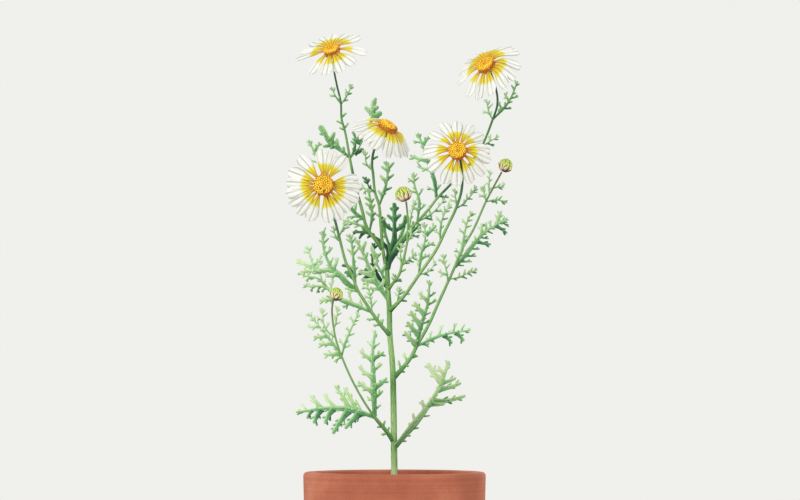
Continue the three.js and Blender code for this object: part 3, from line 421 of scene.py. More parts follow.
def lathe(paths, radii, axes, reference, around):
    # Rings round a straight axis for each path, which may turn back on itself, and its two poles.
    across = unit(np.cross(reference, axes))
    deep = np.cross(axes, across)
    ring = spoke(circle(around), across[:, None, None], deep[:, None, None])
    return paths[:, 1:-1, None] + ring * radii[..., None, None], paths[:, [0, -1]]


class Growth:
    # Gathers closed surfaces of one piece, with named marks on their points for the finish to read.
    def __init__(self):
        self.spots, self.faces, self.marks, self.count = [], [], [], 0

    def keep(self, spots, quads, tris, marks):
        self.spots.append(spots)
        self.faces += (quads.reshape(-1, 4) + self.count).tolist()
        self.faces += (tris.reshape(-1, 3) + self.count).tolist()
        self.marks.append(marks)
        self.count += len(spots)

    def loops(self, many, rows, around, size):
        # The numbers of the points on each loop, of their next ones round it, and the quads between loops.
        first = (np.arange(many) * size)[:, None, None]
        here = first + (np.arange(rows) * around)[:, None] + np.arange(around)
        past = np.roll(here, -1, 2)
        return here, past, np.stack([here[:, :-1], past[:, :-1], past[:, 1:], here[:, 1:]], -1)

    def rods(self, rings, poles, **marks):
        # Each row of rings is closed by one point at both of its ends.
        many, steps, around = rings.shape[:3]
        size = steps * around + 2
        here, past, quads = self.loops(many, steps, around, size)
        low, high = (np.broadcast_to(here[:, 0, :1] + size - back, (many, around)) for back in (2, 1))
        tris = np.concatenate([np.stack([low, past[:, 0], here[:, 0]], -1),
                               np.stack([high, here[:, -1], past[:, -1]], -1)])
        spots = np.concatenate([rings.reshape(many, -1, 3), poles], 1).reshape(-1, 3)
        self.keep(spots, quads, tris, {
            name: self.spread(value, rings.shape[:3]) for name, value in marks.items()})

    def spread(self, value, shape):
        # A mark on the rings, and on the poles as the mean of the ring beside them.
        full = np.broadcast_to(value, shape)
        ends = np.stack([full[:, 0].mean(-1), full[:, -1].mean(-1)], 1)
        return np.concatenate([full.reshape(shape[0], -1), ends], 1).ravel()

    def shells(self, fronts, backs, **marks):
        # Grids of a front and a back that meet along both long edges, and a strip that closes each end.
        many, rows, columns = fronts.shape[:3]
        around = 2 * columns - 2
        here, _, sides = self.loops(many, rows, around, rows * around)
        quads, tris = [sides.reshape(-1, 4)], []
        face = np.arange(columns - 1, -1, -1)
        rear = (columns - 1 + np.arange(columns)) % around
        for row, order, turn in ((0, (0, 1, 2, 3), 1), (rows - 1, (0, 3, 2, 1), -1)):
            ends = here[:, row]
            strip = np.stack([ends[:, face[:-1]], ends[:, face[1:]], ends[:, rear[1:]], ends[:, rear[:-1]]], -1)
            quads.append(strip[:, 1:-1][..., order].reshape(-1, 4))
            tris.append(strip[:, 0, :3][:, ::turn])
            tris.append(strip[:, -1][:, [0, 1, 3]][:, ::turn])
        spots = np.concatenate([fronts[:, :, ::-1], backs[:, :, 1:-1]], 2).reshape(-1, 3)
        full = {}
        for name, value in marks.items():
            value = np.broadcast_to(value, (many, rows, columns))
            full[name] = np.concatenate([value[:, :, ::-1], value[:, :, 1:-1]], 2).ravel()
        self.keep(spots, np.concatenate(quads), np.concatenate(tris), full)

    def build(self, name, finish, slot, nodes, creaseAngle=None):
        mesh = bpy.data.meshes.new(name)
        mesh.from_pydata(np.concatenate(self.spots), [], self.faces)
        for mark in self.marks[0]:
            values = np.concatenate([marks[mark] for marks in self.marks]).astype(np.float32)
            mesh.attributes.new(mark, "FLOAT", "POINT").data.foreach_set("value", values)
        mesh.shade_smooth()
        if creaseAngle:
            mesh.set_sharp_from_angle(angle=creaseAngle)
        mesh.materials.append(finish)
        piece = bpy.data.objects.new(name, mesh)
        bpy.context.scene.collection.objects.link(piece)
        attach(piece, "root")
        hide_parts(*nodes)
        return piece


# Finishes
class Socket:
    # An output of a node that takes part in sums. A sum adds its Math nodes.
    def __init__(self, finish, link):
        self.finish, self.link = finish, link

    def sum(self, operation, first, second):
        return self.finish.node("ShaderNodeMath", {"operation": operation}, {0: first, 1: second})

    def __add__(self, other):
        return self.sum("ADD", self, other)

    def __sub__(self, other):
        return self.sum("SUBTRACT", self, other)

    def __rsub__(self, other):
        return self.sum("SUBTRACT", other, self)

    def __mul__(self, other):
        return self.sum("MULTIPLY", self, other)

    __radd__, __rmul__ = __add__, __mul__


def paint(code):
    # A colour as it looks on screen, turned into the light it sends back.
    shown = np.array([int(code[i:i + 2], 16) for i in (1, 3, 5)]) / 255
    light = np.where(shown <= 0.04045, shown / 12.92, ((shown + 0.055) / 1.055) ** 2.4)
    return (*light.tolist(), 1.0)


class Finish:
    # A material whose nodes are added by what the maker asks for.
    def __init__(self, name, **constants):
        self.material = bpy.data.materials.new(name)
        self.material.use_nodes = True
        self.tree = self.material.node_tree
        self.skin = self.tree.nodes["Principled BSDF"]
        for socket, value in constants.items():
            self.skin.inputs[socket.replace("_", " ")].default_value = value

    def node(self, kind, settings=None, sockets=None, output=0):
        made = self.tree.nodes.new(kind)
        for setting, value in (settings or {}).items():
            if setting == "stops":
                self.stops(made.color_ramp, value)
            else:
                setattr(made, setting, value)
        for socket, value in (sockets or {}).items():
            self.feed(made.inputs[socket], value)
        return Socket(self, made.outputs[output])

    def stops(self, ramp, stops):
        while len(ramp.elements) < len(stops):
            ramp.elements.new(0.5)
        for element, (spot, code) in zip(ramp.elements, stops):
            element.position, element.color = spot, paint(code)

    def feed(self, socket, value):
        if isinstance(value, Socket):
            self.tree.links.new(value.link, socket)
        else:
            socket.default_value = value

    def marks(self, *names):
        return [self.node("ShaderNodeAttribute", {"attribute_name": name}, None, "Fac") for name in names]

    def spot(self):
        return self.node("ShaderNodeTexCoord", None, None, "Object")

    def noise(self, scale, detail=2.0, rough=0.5):
        return self.node("ShaderNodeTexNoise", None, {
            "Vector": self.spot(), "Scale": scale, "Detail": detail, "Roughness": rough}, "Fac")

    def streaks(self, across, along, scale=1.0, detail=2.0):
        # A flat noise over two marks, which follows the piece.
        vector = self.node("ShaderNodeCombineXYZ", None, {0: across, 1: along})
        return self.node("ShaderNodeTexNoise", {"noise_dimensions": "2D"}, {
            "Vector": vector, "Scale": scale, "Detail": detail}, "Fac")

    def ramp(self, value, stops):
        return self.node("ShaderNodeValToRGB", {"stops": stops}, {"Fac": value}, "Color")

    def blend(self, share, first, second, way="MIX"):
        return self.node("ShaderNodeMix", {"data_type": "RGBA", "blend_type": way}, {
            0: share, 6: first, 7: second}, 2)

    def size(self, value):
        return self.node("ShaderNodeMath", {"operation": "ABSOLUTE"}, {0: value})

    def step(self, value, low, high):
        return self.node("ShaderNodeMapRange", {"interpolation_type": "SMOOTHSTEP"}, {
            "Value": value, "From Min": low, "From Max": high})

    def wear(self, colour, rough=None, height=None, depth=0.0005, strength=0.5):
        self.feed(self.skin.inputs["Base Color"], colour)
        if rough is not None:
            self.feed(self.skin.inputs["Roughness"], rough)
        if height is not None:
            self.feed(self.skin.inputs["Normal"], self.node("ShaderNodeBump", None, {
                "Height": height, "Distance": depth, "Strength": strength}, "Normal"))
        return self.material


def leafFinish():
    # Paler to a blade's tip and darker on its lower right side as painted shade, with a thin dark line
    # down its middle.
    finish = Finish("leafSkin", Roughness=0.5)
    tone, along, lee, rib = finish.marks("tone", "along", "lee", "rib")
    mottle, grain = finish.noise(240.0, 3.0), finish.noise(1800.0)
    middle = 1 - finish.step(finish.size(rib), 0.0, 0.3)
    shade = tone + 0.31 * lee - 0.3 * (along - 0.45) + 0.2 * middle
    shade = shade + 0.36 * (mottle - 0.5) + 0.1 * (grain - 0.5)
    colour = finish.ramp(shade, [
        (0.0, "#d2ebba"), (0.25, "#9fcd90"), (0.5, "#66a566"), (0.75, "#2a6a40"), (1.0, "#0f3f30")])
    warm = finish.step(finish.noise(70.0), 0.48, 0.66)
    colour = finish.blend(0.34 * warm, colour, paint("#f2f0b0"), "MULTIPLY")
    return finish.wear(colour, 0.42 + 0.25 * grain, 0.4 * grain - 0.5 * middle, 0.0004, 0.5)


def stalkFinish():
    # Streaks that run along the stalk, and painted shade: darker between the ribs, on the flanks seen from
    # the front, and on the lower right side. Bud stalks ripen to brown at their tops.
    finish = Finish("stalkSkin", Roughness=0.5)
    tone, rib, along, turn = finish.marks("tone", "rib", "along", "turn")
    lee, edge, ripe = finish.marks("lee", "edge", "ripe")
    streak = finish.streaks(turn * 2.2, along * 2.5, 1.6, 3.0)
    shade = tone + 0.9 * (streak - 0.5) - 0.2 * (rib - 0.5) + 0.3 * lee + 0.16 * (edge - 0.5)
    colour = finish.ramp(shade, [
        (0.0, "#cfe4ae"), (0.25, "#98c274"), (0.5, "#5f9a48"), (0.75, "#2d6e3a"), (1.0, "#123c2c")])
    colour = finish.blend(ripe, colour, paint("#6e5a2c"))
    return finish.wear(colour, 0.45 + 0.2 * streak, rib * 0.6 + streak * 0.4, 0.0005, 0.6)


def petalFinish():
    # Golden to lemon and then white along a petal, with two bold veins and many faint ones.
    finish = Finish("petalSkin", Roughness=0.55, Sheen_Weight=0.1)
    reach, across, seed = finish.marks("reach", "across", "seed")
    broad, narrow = (finish.streaks(across * wide, reach * long + seed * 30.0)
                     for wide, long in ((4.5, 1.2), (9.0, 2.4)))
    ripple = finish.noise(420.0)
    wave = finish.node("ShaderNodeMath", {"operation": "COSINE"}, {0: across * 7.5 + 3.2 * (seed - 0.5)})
    vein = finish.step(wave + 1.4 * (broad - 0.5), 0.5, 1.0)
    fine = finish.step(narrow, 0.53, 0.68)
    warm = reach + 0.18 * (broad - 0.5) + 0.05 * (narrow - 0.5)
    white = finish.step(warm, 0.5, 0.6)
    colour = finish.ramp(warm, [
        (0.2, "#c88406"), (0.3, "#dcac0a"), (0.42, "#e6cc16"), (0.51, "#eadc34"), (0.55, "#e8e47c"),
        (0.585, "#eeeee8")])
    for share, golden, grey in ((0.62 * vein, "#b08a18", "#b0b3a8"), (0.3 * fine, "#b8961c", "#c2c5bb")):
        colour = finish.blend(share, colour, finish.blend(white, paint(golden), paint(grey)), "MULTIPLY")
    return finish.wear(colour, 0.5 + 0.2 * ripple, 0.6 * (1 - vein) + 0.2 * ripple - 0.2 * fine, 0.0006, 0.7)


def discFinish():
    # Yellow florets round an orange middle, a brown rim that is broader on the lower right side as painted
    # shade, brown flecks in a ring round the middle, partly their own colour and partly painted shade as they
    # gather on the lower right, and darker orange at the florets' feet, painted shade between them.
    finish = Finish("discSkin", Roughness=0.6)
    ring, along, seed, lee = finish.marks("ring", "along", "seed", "lee")
    colour = finish.ramp(ring + 0.12 * (seed - 0.5), [
        (0.0, "#e08a10"), (0.2, "#f2aa18"), (0.34, "#ffd634"), (0.8, "#ffd02c"), (1.0, "#f4ac1a")])
    # The rim reaches further in on the lower right side: painted shade.
    rim = finish.step(ring + 0.34 * lee + 0.1 * (seed - 0.5), 0.84, 1.1)
    colour = finish.blend(rim, colour, paint("#b9580a"))
    # Flecks gather on the lower right side: painted shade, on top of their own random spread.
    fleck = finish.step(seed + 0.5 * lee - 1.5 * finish.size(ring - 0.42), 0.88, 0.98)
    colour = finish.blend(0.9 * fleck, colour, paint("#7e3a06"))
    # Darker orange at the florets' feet: painted shade between them.
    colour = finish.blend(finish.step(along, 0.42, 0.06), colour, paint("#c67a0a"))
    return finish.wear(colour, None, finish.noise(2600.0), 0.0002, 0.5)


def bractFinish():
    # Lime at the top of a bud and cream below, each bract dark at its edges, on a brown base that reaches
    # higher on the lower right side as painted shade.
    finish = Finish("bractSkin", Roughness=0.5)
    tone, along, rib, level = finish.marks("tone", "along", "rib", "level")
    grain = finish.noise(1500.0)
    loose = 0.3 * (grain - 0.5)
    young = finish.ramp(along + loose, [(0.0, "#8a9c34"), (0.5, "#c0d654"), (1.0, "#ecf390")])
    young = finish.blend(finish.step(rib + loose, 0.2, 0.7), paint("#7c8a2c"), young)
    old = finish.ramp(along, [(0.0, "#c39a6c"), (0.6, "#f0dcae"), (1.0, "#f8f0c8")])
    old = finish.blend(finish.step(rib + loose, 0.3, 0.75), paint("#5a2f10"), old)
    colour = finish.blend(finish.step(tone + 0.2 * (grain - 0.5), 0.3, 0.6), old, young)
    colour = finish.blend(finish.step(level + loose, -0.5, -0.9), colour, paint("#4a230c"))
    return finish.wear(colour, 0.45 + 0.2 * grain, rib, 0.0004, 0.6)


def clayFinish():
    # Clouded clay with the fine rings of its turning, and pale lime that blooms towards its foot.
    finish = Finish("clay", Roughness=0.85)
    cloud, grain = finish.noise(22.0, 4.0), finish.noise(900.0, 3.0, 0.7)
    height = finish.node("ShaderNodeSeparateXYZ", None, {0: finish.spot()}, 2)
    rings = finish.node("ShaderNodeTexNoise", {"noise_dimensions": "1D"}, {
        "W": height, "Scale": 420.0, "Detail": 3.0}, "Fac")
    colour = finish.ramp(0.6 * cloud + 0.25 * grain + 0.15 * rings, [
        (0.3, "#8f4a30"), (0.5, "#b5654a"), (0.7, "#cf8666")])
    bloom = finish.step(finish.noise(34.0, 5.0, 0.65) - 3.4 * height, 0.42, 0.72)
    colour = finish.blend(0.55 * bloom, colour, paint("#d9c4ae"))
    return finish.wear(colour, 0.78 + 0.2 * grain, 0.5 * grain + 0.5 * rings, 0.0006, 0.5)


def soilFinish():
    # Dark clods and crumbs, a few of which are pale grains.
    finish = Finish("soilCrumb", Roughness=0.95)
    (seed,) = finish.marks("seed")
    clod, grain = finish.noise(160.0, 4.0, 0.65), finish.noise(1400.0)
    colour = finish.ramp(0.6 * clod + 0.4 * seed, [(0.25, "#2a1d14"), (0.5, "#49382a"), (0.75, "#6d5640")])
    colour = finish.blend(finish.step(seed, 0.955, 0.96), colour, paint("#d8d2c2"))
    return finish.wear(colour, None, clod + 0.5 * grain, 0.0008, 0.8)


skins = {
    "leaf": leafFinish(), "stalk": stalkFinish(), "petal": petalFinish(), "disc": discFinish(),
    "bract": bractFinish(), "clay": clayFinish(), "soil": soilFinish()}
print("finishes:", len(skins))

draw = np.random.default_rng(7)

# Leaves
blades = {
    "steps": 60,                 # along a spine
    "spineFoot": 0.7, "spineBroad": 0.0021, "spineEnd": 0.0007, "spineThick": 0.0004,
    "spineRows": 56, "spineLeast": 0.4, "spineSkin": 0.00004, "spineChannel": 0.2,
    "longSpine": 0.06,           # a spine of this length is at its broadest
    "lean": 0.62,                # how far down the spine a lobe leaves it, as a share of its way out
    "firstLobe": 0.0012,         # the least length of spine below a lobe
    "lobeHalf": (0.115, 0.0009, 0.0017),  # share of the lobe's length, least, most
    "lobeThick": 0.00028, "sagging": -0.35, "curl": 0.0012,
    "lobeBow": (-0.14, 0.05),    # of most lobes, and of those that sag
    "lobeForm": (1.8, 0.35, 0.25), "fingerForm": (1.25, 0.6, 0.0),  # width at the foot, belly, pinch
    "fingerEvery": 0.0032, "fingerMost": 6, "fingersFrom": 0.28, "fingersRun": 0.58,
    "fingerShare": 0.3, "fingerLength": (0.0022, 0.0038), "fingerHalf": 0.00078,
    "fingerAngle": 0.7, "fingerHook": 1.45,  # its angle to the lobe, and how much more of it at its middle
    "spurEvery": 0.0036, "spurLength": 0.0022, "spurFrom": 0.14, "spurClear": 0.0024,
    "spurEnds": ((0.0036, 1), (0.0022, -1)),  # how far the last two are from the end, and their sides
    "spurWays": ((0.75, 0.66), (0.3, 0.7)),  # along the spine and across it, to the end and to the middle
    "spurRoot": 0.0008,          # how much of a spur lies inside the spine
    "spurless": 1.8,             # a leaf wider than this has no spurs
    "twigHalf": 0.000936, "twigTone": 0.4, "twigSags": 0.0004, "twigForks": 0.006,
    "light": (0.14, 0.0, -0.24),  # how much darker a blade is that points right, back and up
    "uneven": 0.08,              # how far a blade's tone may be off
    "deepShare": 0.14, "deepTone": 0.3,  # some fingers lie in deep shade
    "channel": 0.22,             # how far a blade's edges stand up, as a share of its half width
}
# Where a blade has rings: shares of its length up to its round end, and shares of that end.
lobeRows = (np.array([0, 0.06, 0.2, 0.4, 0.6, 0.8]), np.array([0, 0.4, 0.7, 0.92, 1]))
fingerRows = (np.array([0, 0.12, 0.55]), np.array([0, 0.5, 0.85, 1]))


def nearest(line, spot):
    # The point of a line that is nearest to a spot in the front view, and how far away it is.
    gaps = np.hypot(line[:, 0] - spot[0], line[:, 2] - spot[2])
    best = int(np.argmin(gaps))
    return best, gaps[best]


def rounded(shares, start):
    # 1 up to start, and from there a quarter circle down to 0.
    return np.sqrt(1 - np.clip((shares - start) / (1 - start), 0, 1) ** 2)


def bladeWidth(shares, foot, belly, start=None, pinch=0.0):
    # From foot at the root to 1 at the belly, down by the pinch, and round to nothing from start to the tip.
    start = belly if start is None else start
    body = np.clip(shares / start, 0, 1)
    full = foot + (1 - foot) * smooth(0, belly, body) - pinch * smooth(belly, 1, body)
    return full * rounded(shares, start)


class Sheet:
    # The sheet that a leaf lies in. Its depth grows by reach along the spine and by twist across it.
    def __init__(self, leaf, stalk):
        points = place(leaf["spine"])
        foot = stalk[nearest(stalk, points[0])[0]]
        points[0] = foot * (1, 0, 1)
        self.leaf, self.rise = leaf, leaf["reach"] * plan["depth"]
        self.line, self.length = course(points, blades["steps"])
        self.ways = unit(np.gradient(self.line, axis=0))
        self.across = np.stack([self.ways[:, 2], self.ways[:, 1], -self.ways[:, 0]], -1)
        self.line[:, 1] = foot[1] + self.rise * np.linspace(0, 1, len(self.line))
        slope = self.ways * self.rise / self.length + self.across * leaf["twist"]
        self.fronts = unit(slope - np.array([0, 1.0, 0]))

    def index(self, walked):
        return int(np.clip(walked / self.length, 0, 1) * blades["steps"])

    def depthAt(self, spot, index):
        # The sheet's depth at a spot, worked out from the spine's point at index.
        off = spot - self.line[index]
        return (self.line[index, 1] + off @ self.ways[index] * self.rise / self.length
                + off @ self.across[index] * self.leaf["twist"])


class Foliage(Growth):
    # The blades of a stalk, gathered by kind and then swept all at once. A blade has a root, a middle and a
    # tip, a half width, a front and a tone.
    def __init__(self):
        super().__init__()
        self.lobes, self.fingers = [], []

    def leafOn(self, leaf, stalk):
        sheet = Sheet(leaf, stalk)
        self.spineOf(sheet)
        roots = [self.lobeOn(tip, sheet) for tip in place(leaf["tips"])]
        if leaf["width"] <= blades["spurless"]:
            self.spurs(sheet, roots)

    def spineOf(self, sheet):
        # A spine broadens to its belly, narrows from there, and has a round end as long as it is wide.
        width, belly = sheet.leaf["width"], sheet.leaf["belly"]
        broad = blades["spineBroad"] * np.clip(sheet.length / blades["longSpine"], blades["spineLeast"], 1)
        foot, last = blades["spineFoot"] * broad * min(0.3 / belly, 1), blades["spineEnd"] * width**0.7
        swell = width**0.45 * sheet.leaf["full"]
        start = 1 - np.clip(last * swell / sheet.length, 0.02, 0.3)
        shares = np.concatenate([
            np.linspace(0, start, blades["spineRows"]), start + (1 - start) * lobeRows[1][1:]])
        even = np.linspace(0, 1, len(sheet.line))
        path = np.stack([np.interp(shares, even, sheet.line[:, i]) for i in range(3)], 1)
        half = swell * np.interp(shares, [0, 0.4 * belly, belly, 0.43 + 0.57 * belly, 1],
                                 [foot, foot, broad, 0.6 * broad, last])
        half = half * rounded(shares, start) + blades["spineSkin"]
        thick = np.minimum(blades["spineThick"], half)
        rings, poles, v, lee = sweep(path[None], half[None, 1:-1], thick[None, 1:-1], sheet.fronts[0], 12,
                                     blades["spineChannel"])
        self.rods(rings, poles, tone=sheet.leaf["tone"], along=shares[1:-1, None], lee=lee, rib=np.cos(v))

    def lobeOn(self, tip, sheet):
        # A lobe starts square to the spine and turns forward, unless it points down, where it sags. The
        # length of spine up to its root, and its side, are given back.
        leaf = sheet.leaf
        near, gap = nearest(sheet.line, tip)
        side = float(np.sign(sheet.across[near] @ (tip - sheet.line[near])))
        walked = max(near / blades["steps"] * sheet.length - blades["lean"] * gap, blades["firstLobe"])
        index = sheet.index(walked)
        root = sheet.line[index].copy()
        tip[1] = sheet.line[near, 1] + gap * side * leaf["twist"]
        span = np.linalg.norm(tip - root)
        sags = tip[2] - root[2] < blades["sagging"] * span
        bend = blades["lobeBow"][1 if sags else 0] + draw.uniform(-0.05, 0.05)
        middle = (root + tip) / 2 + sheet.ways[index] * bend * span
        share, least, most = blades["lobeHalf"]
        half = leaf["width"] * np.clip(span * share, least, most)
        tone = leaf["tone"] + self.unevenness() + unit(tip - root) @ blades["light"]
        tip[1] += draw.uniform(-1, 1) * blades["curl"]
        blade = (root, middle, tip, half, sheet.fronts[index], tone)
        self.lobes.append(blade)
        self.fingersOn(blade, span, leaf["width"])
        return walked, side

    def unevenness(self):
        return draw.uniform(-blades["uneven"], blades["uneven"])

    def fingersOn(self, blade, span, width):
        # Blunt fingers on both edges of a blade, by turns, in its outer part.
        root, middle, tip, half, front, tone = blade
        count = int(np.clip(span / (blades["fingerEvery"] * width**1.5) - 0.8, 0, blades["fingerMost"]))
        for i in range(count):
            t = blades["fingersFrom"] + blades["fingersRun"] * (i + 0.5) / count + draw.uniform(-0.03, 0.03)
            spot = bow(root, middle, tip, t)
            way = unit(2 * (1 - t) * (middle - root) + 2 * t * (tip - middle))
            cross = np.cross(way, front) * (1 if i % 2 else -1)
            size = np.clip(span * blades["fingerShare"], *blades["fingerLength"])
            size = size * width**0.4 * draw.uniform(0.75, 1.2)
            angle = blades["fingerAngle"] * draw.uniform(0.75, 1.15)
            hook = angle * blades["fingerHook"]
            end = spot + (way * np.cos(angle) + cross * np.sin(angle)) * (size + half * 0.6)
            bend = spot + (way * np.cos(hook) + cross * np.sin(hook)) * (size + half) * 0.5
            end = end + front * draw.uniform(-0.3, 0.5) * blades["curl"]
            deep = blades["deepTone"] if draw.uniform() < blades["deepShare"] else 0.0
            shade = tone + self.unevenness() + unit(end - spot) @ blades["light"] * 0.7 + deep
            self.fingers.append((spot, bend, end, blades["fingerHalf"] * width**0.8, front, shade))

    def spurs(self, sheet, roots):
        # Small fingers on the spine itself, where no lobe leaves it, and two that share its end.
        width, length = sheet.leaf["width"], sheet.length
        count = int(length / (blades["spurEvery"] * width**1.5))
        places = [(i / count * length, 1 if i % 2 else -1) for i in range(1, count)]
        places = [(walked, side) for walked, side in places if walked > blades["spurFrom"] * length and not any(
            abs(walked - root) < blades["spurClear"] and side == other for root, other in roots)]
        places += [(length - back, side) for back, side in blades["spurEnds"]]
        for walked, side in places:
            index = sheet.index(walked)
            size = blades["spurLength"] * draw.uniform(0.8, 1.4)
            spot, way, cross = sheet.line[index], sheet.ways[index], sheet.across[index] * side
            (far, wide), (near, close) = blades["spurWays"]
            end = spot + (way * far + cross * wide) * (size + blades["spurRoot"])
            bend = spot + (way * near + cross * close) * size * 0.7
            for moved in (end, bend):
                moved[1] = sheet.depthAt(moved, index)
            shade = sheet.leaf["tone"] + unit(end - spot) @ blades["light"]
            half = blades["fingerHalf"] * width**0.6
            self.fingers.append((spot, bend, end, half, sheet.fronts[index], shade))

    def twigOn(self, twig, stalk, length):
        # One small blade with a round end, and fingers on it where it is long.
        tip = place([twig])[0]
        near, gap = nearest(stalk, tip)
        last = len(stalk) - 1
        root = stalk[int(np.clip(near - blades["lean"] * gap / length * last, 1, last))]
        tip[1] = root[1] + twig[2] * plan["depth"]
        front = unit(np.array([0.1 * np.sign(tip[0] - root[0]), -1, 0.2]))
        middle = (root + tip) / 2 - np.array([0, 0, blades["twigSags"]])
        tone = blades["twigTone"] + unit(tip - root) @ blades["light"]
        blade = (root, middle, tip, blades["twigHalf"], front, tone)
        self.fingers.append(blade)
        span = np.linalg.norm(tip - root)
        if span > blades["twigForks"]:
            self.fingersOn(blade, span * 0.7, 0.9)

    def sweepAll(self):
        # A blade's round end is as long as the blade is wide there.
        for kept, rows, around, form in ((self.lobes, lobeRows, 10, blades["lobeForm"]),
                                         (self.fingers, fingerRows, 8, blades["fingerForm"])):
            roots, middles, tips, halves, fronts, tones = (
                np.array(column, float)[:, None] for column in zip(*kept))
            foot, belly, pinch = form
            spans = np.linalg.norm(tips - roots, axis=2)
            start = 1 - np.clip(halves * (1 - pinch) / spans, 0.04, 0.5)
            shares = np.concatenate([start * rows[0], start + (1 - start) * rows[1]], 1)
            paths = bow(roots, middles, tips, shares[..., None])
            inner = shares[:, 1:-1]
            wide = halves * bladeWidth(inner, foot, belly, start, pinch)
            thick = np.minimum(blades["lobeThick"], wide * 0.8)
            rings, poles, v, lee = sweep(paths, wide, thick, fronts, around, blades["channel"])
            self.rods(rings, poles, tone=tones[..., None], along=inner[..., None], lee=lee, rib=np.cos(v))


# Stems and stalks
ribs = {
    "depth": 0.05, "flare": 0.45, "flareLength": 0.0035,  # at the foot
    "shade": 0.5, "shadeSize": 0.0075,  # near the shaded spots
    "ripens": 0.8,               # the share of the length from which a stalk turns brown
    "streaks": 40,               # how many steps of the finish's streaks a metre has
}
# Stalk tones are darker at the foot, where a stalk leaves the stem, and those of head stalks also just under
# the head: painted shade.
rods = {
    "stem": {"ribs": 11, "around": 66, "steps": 240, "ripe": 0.0},
    "head": {"ribs": 7, "around": 28, "steps": 160, "ripe": 0.0,
             "tones": ((0, 0.72), (0.06, 0.5), (0.3, 0.42), (0.6, 0.46), (0.85, 0.9), (1, 0.98))},
    "bud": {"ribs": 7, "around": 28, "steps": 160, "ripe": 0.75,
            "tones": ((0, 0.72), (0.1, 0.5), (0.3, 0.42), (1, 0.5))},
}


def rodOf(part, rod, line):
    # A ribbed rod: its radius runs through the pairs of share and radius, flares at the foot, and follows
    # cos(ribs v) round it. It is darker near the shaded spots.
    length = np.linalg.norm(np.diff(line, axis=0), axis=1).sum()
    shares = np.linspace(0, 1, len(line))[1:-1]
    radius = np.interp(shares, *zip(*part["radii"]))
    radius = radius * (1 + ribs["flare"] * np.exp(-shares * length / ribs["flareLength"]))
    wave = np.cos(rod["ribs"] * circle(rod["around"]))
    rings, poles, v, lee = sweep(line[None], radius[None], radius[None], np.array([0.0, -1, 0]), rod["around"],
                                 lift=ribs["depth"] * wave)
    tone = np.interp(shares, *zip(*part.get("tones", rod.get("tones"))))
    for spot in part.get("shaded", ()):
        away = np.linalg.norm((line[1:-1] - place([spot])) * (1, 0, 1), axis=1)
        tone = tone + ribs["shade"] * np.exp(-(away / ribs["shadeSize"]) ** 2)
    growth = Growth()
    growth.rods(rings, poles, tone=tone[:, None], rib=0.5 + 0.5 * wave,
                along=(shares * length * ribs["streaks"])[:, None],
                turn=np.cos(v) * 2, lee=lee, edge=np.cos(v) ** 2,
                ripe=rod["ripe"] * smooth(ribs["ripens"], 1.0, shares)[:, None])
    return growth


def grow(rodName, leavesName, node, part, rod, route):
    # A stem or stalk is one piece, and all that grows along it is another.
    line, length = course(route, rod["steps"])
    rodOf(part, rod, line).build(rodName, skins["stalk"], "stem_green", [node])
    foliage = Foliage()
    for each in part["leaves"]:
        foliage.leafOn(each, line)
    for twig in part.get("twigs", ()):
        foliage.twigOn(twig, line, length)
    foliage.sweepAll()
    foliage.build(leavesName, skins["leaf"], "leaf_green", [node])


def endOf(stalk):
    # A stalk ends at the foot of its head's cup, or just under its bud.
    if "head" in stalk:
        centre, out = axesOf(heads[stalk["head"]], headUp)[:2]
        return centre - out * cup["depth"]
    bud = buds[stalk["bud"]]
    centre, out = axesOf(bud, budUp)[:2]
    return centre - out * (bract["core"] * bud["half"] + bract["seat"])


# Flower heads
headUp, budUp = (0, 0, 1), (0, 1, 0)  # what the first way across a head or a bud is square to


def axesOf(part, reference):
    # The middle of a head or a bud, the way it faces, and two ways across it.
    out = unit(np.array(part["faces"], float))
    right = unit(np.cross(reference, out))
    return place([part["at"]])[0], out, right, np.cross(out, right)


# Foot, half width, widens and ring are shares of the head's reach, and the notch and corner of the petal.
petal = {
    "rows": 24, "columns": 15, "foot": 0.2, "half": 0.178, "widens": (0.16, 0.8),
    "narrows": (0.16, 0.84),     # by how much, and from what share of its length
    "ring": 0.27, "bend": 0.4,   # where it starts to turn, and in what share of the rest it does so
    "thick": 0.00045, "thins": 0.7, "camber": 0.2, "ridge": 0.0004, "wave": 0.0006, "twist": 0.13,
    "corner": 0.13, "notch": 0.07, "notches": (1.7, 2.3),
    "lengths": (0.94, 1.0), "widths": (0.88, 1.06), "sway": 0.06,  # how the petals of one head differ
}


def turnsOf(head):
    # A look is an angle in the front view. The petal that lies that way has the turn in the head's own plane
    # whose arrow points there.
    right, up = axesOf(head, headUp)[2:]
    look = np.radians(head["looks"])
    turn = np.arctan2(-(right[0] * np.sin(look) - right[2] * np.cos(look)),
                      up[0] * np.sin(look) - up[2] * np.cos(look))
    arrow = spoke(turn, right, up)
    back = arrow[:, 0] * np.cos(look) + arrow[:, 2] * np.sin(look) < 0
    return turn + np.pi * back


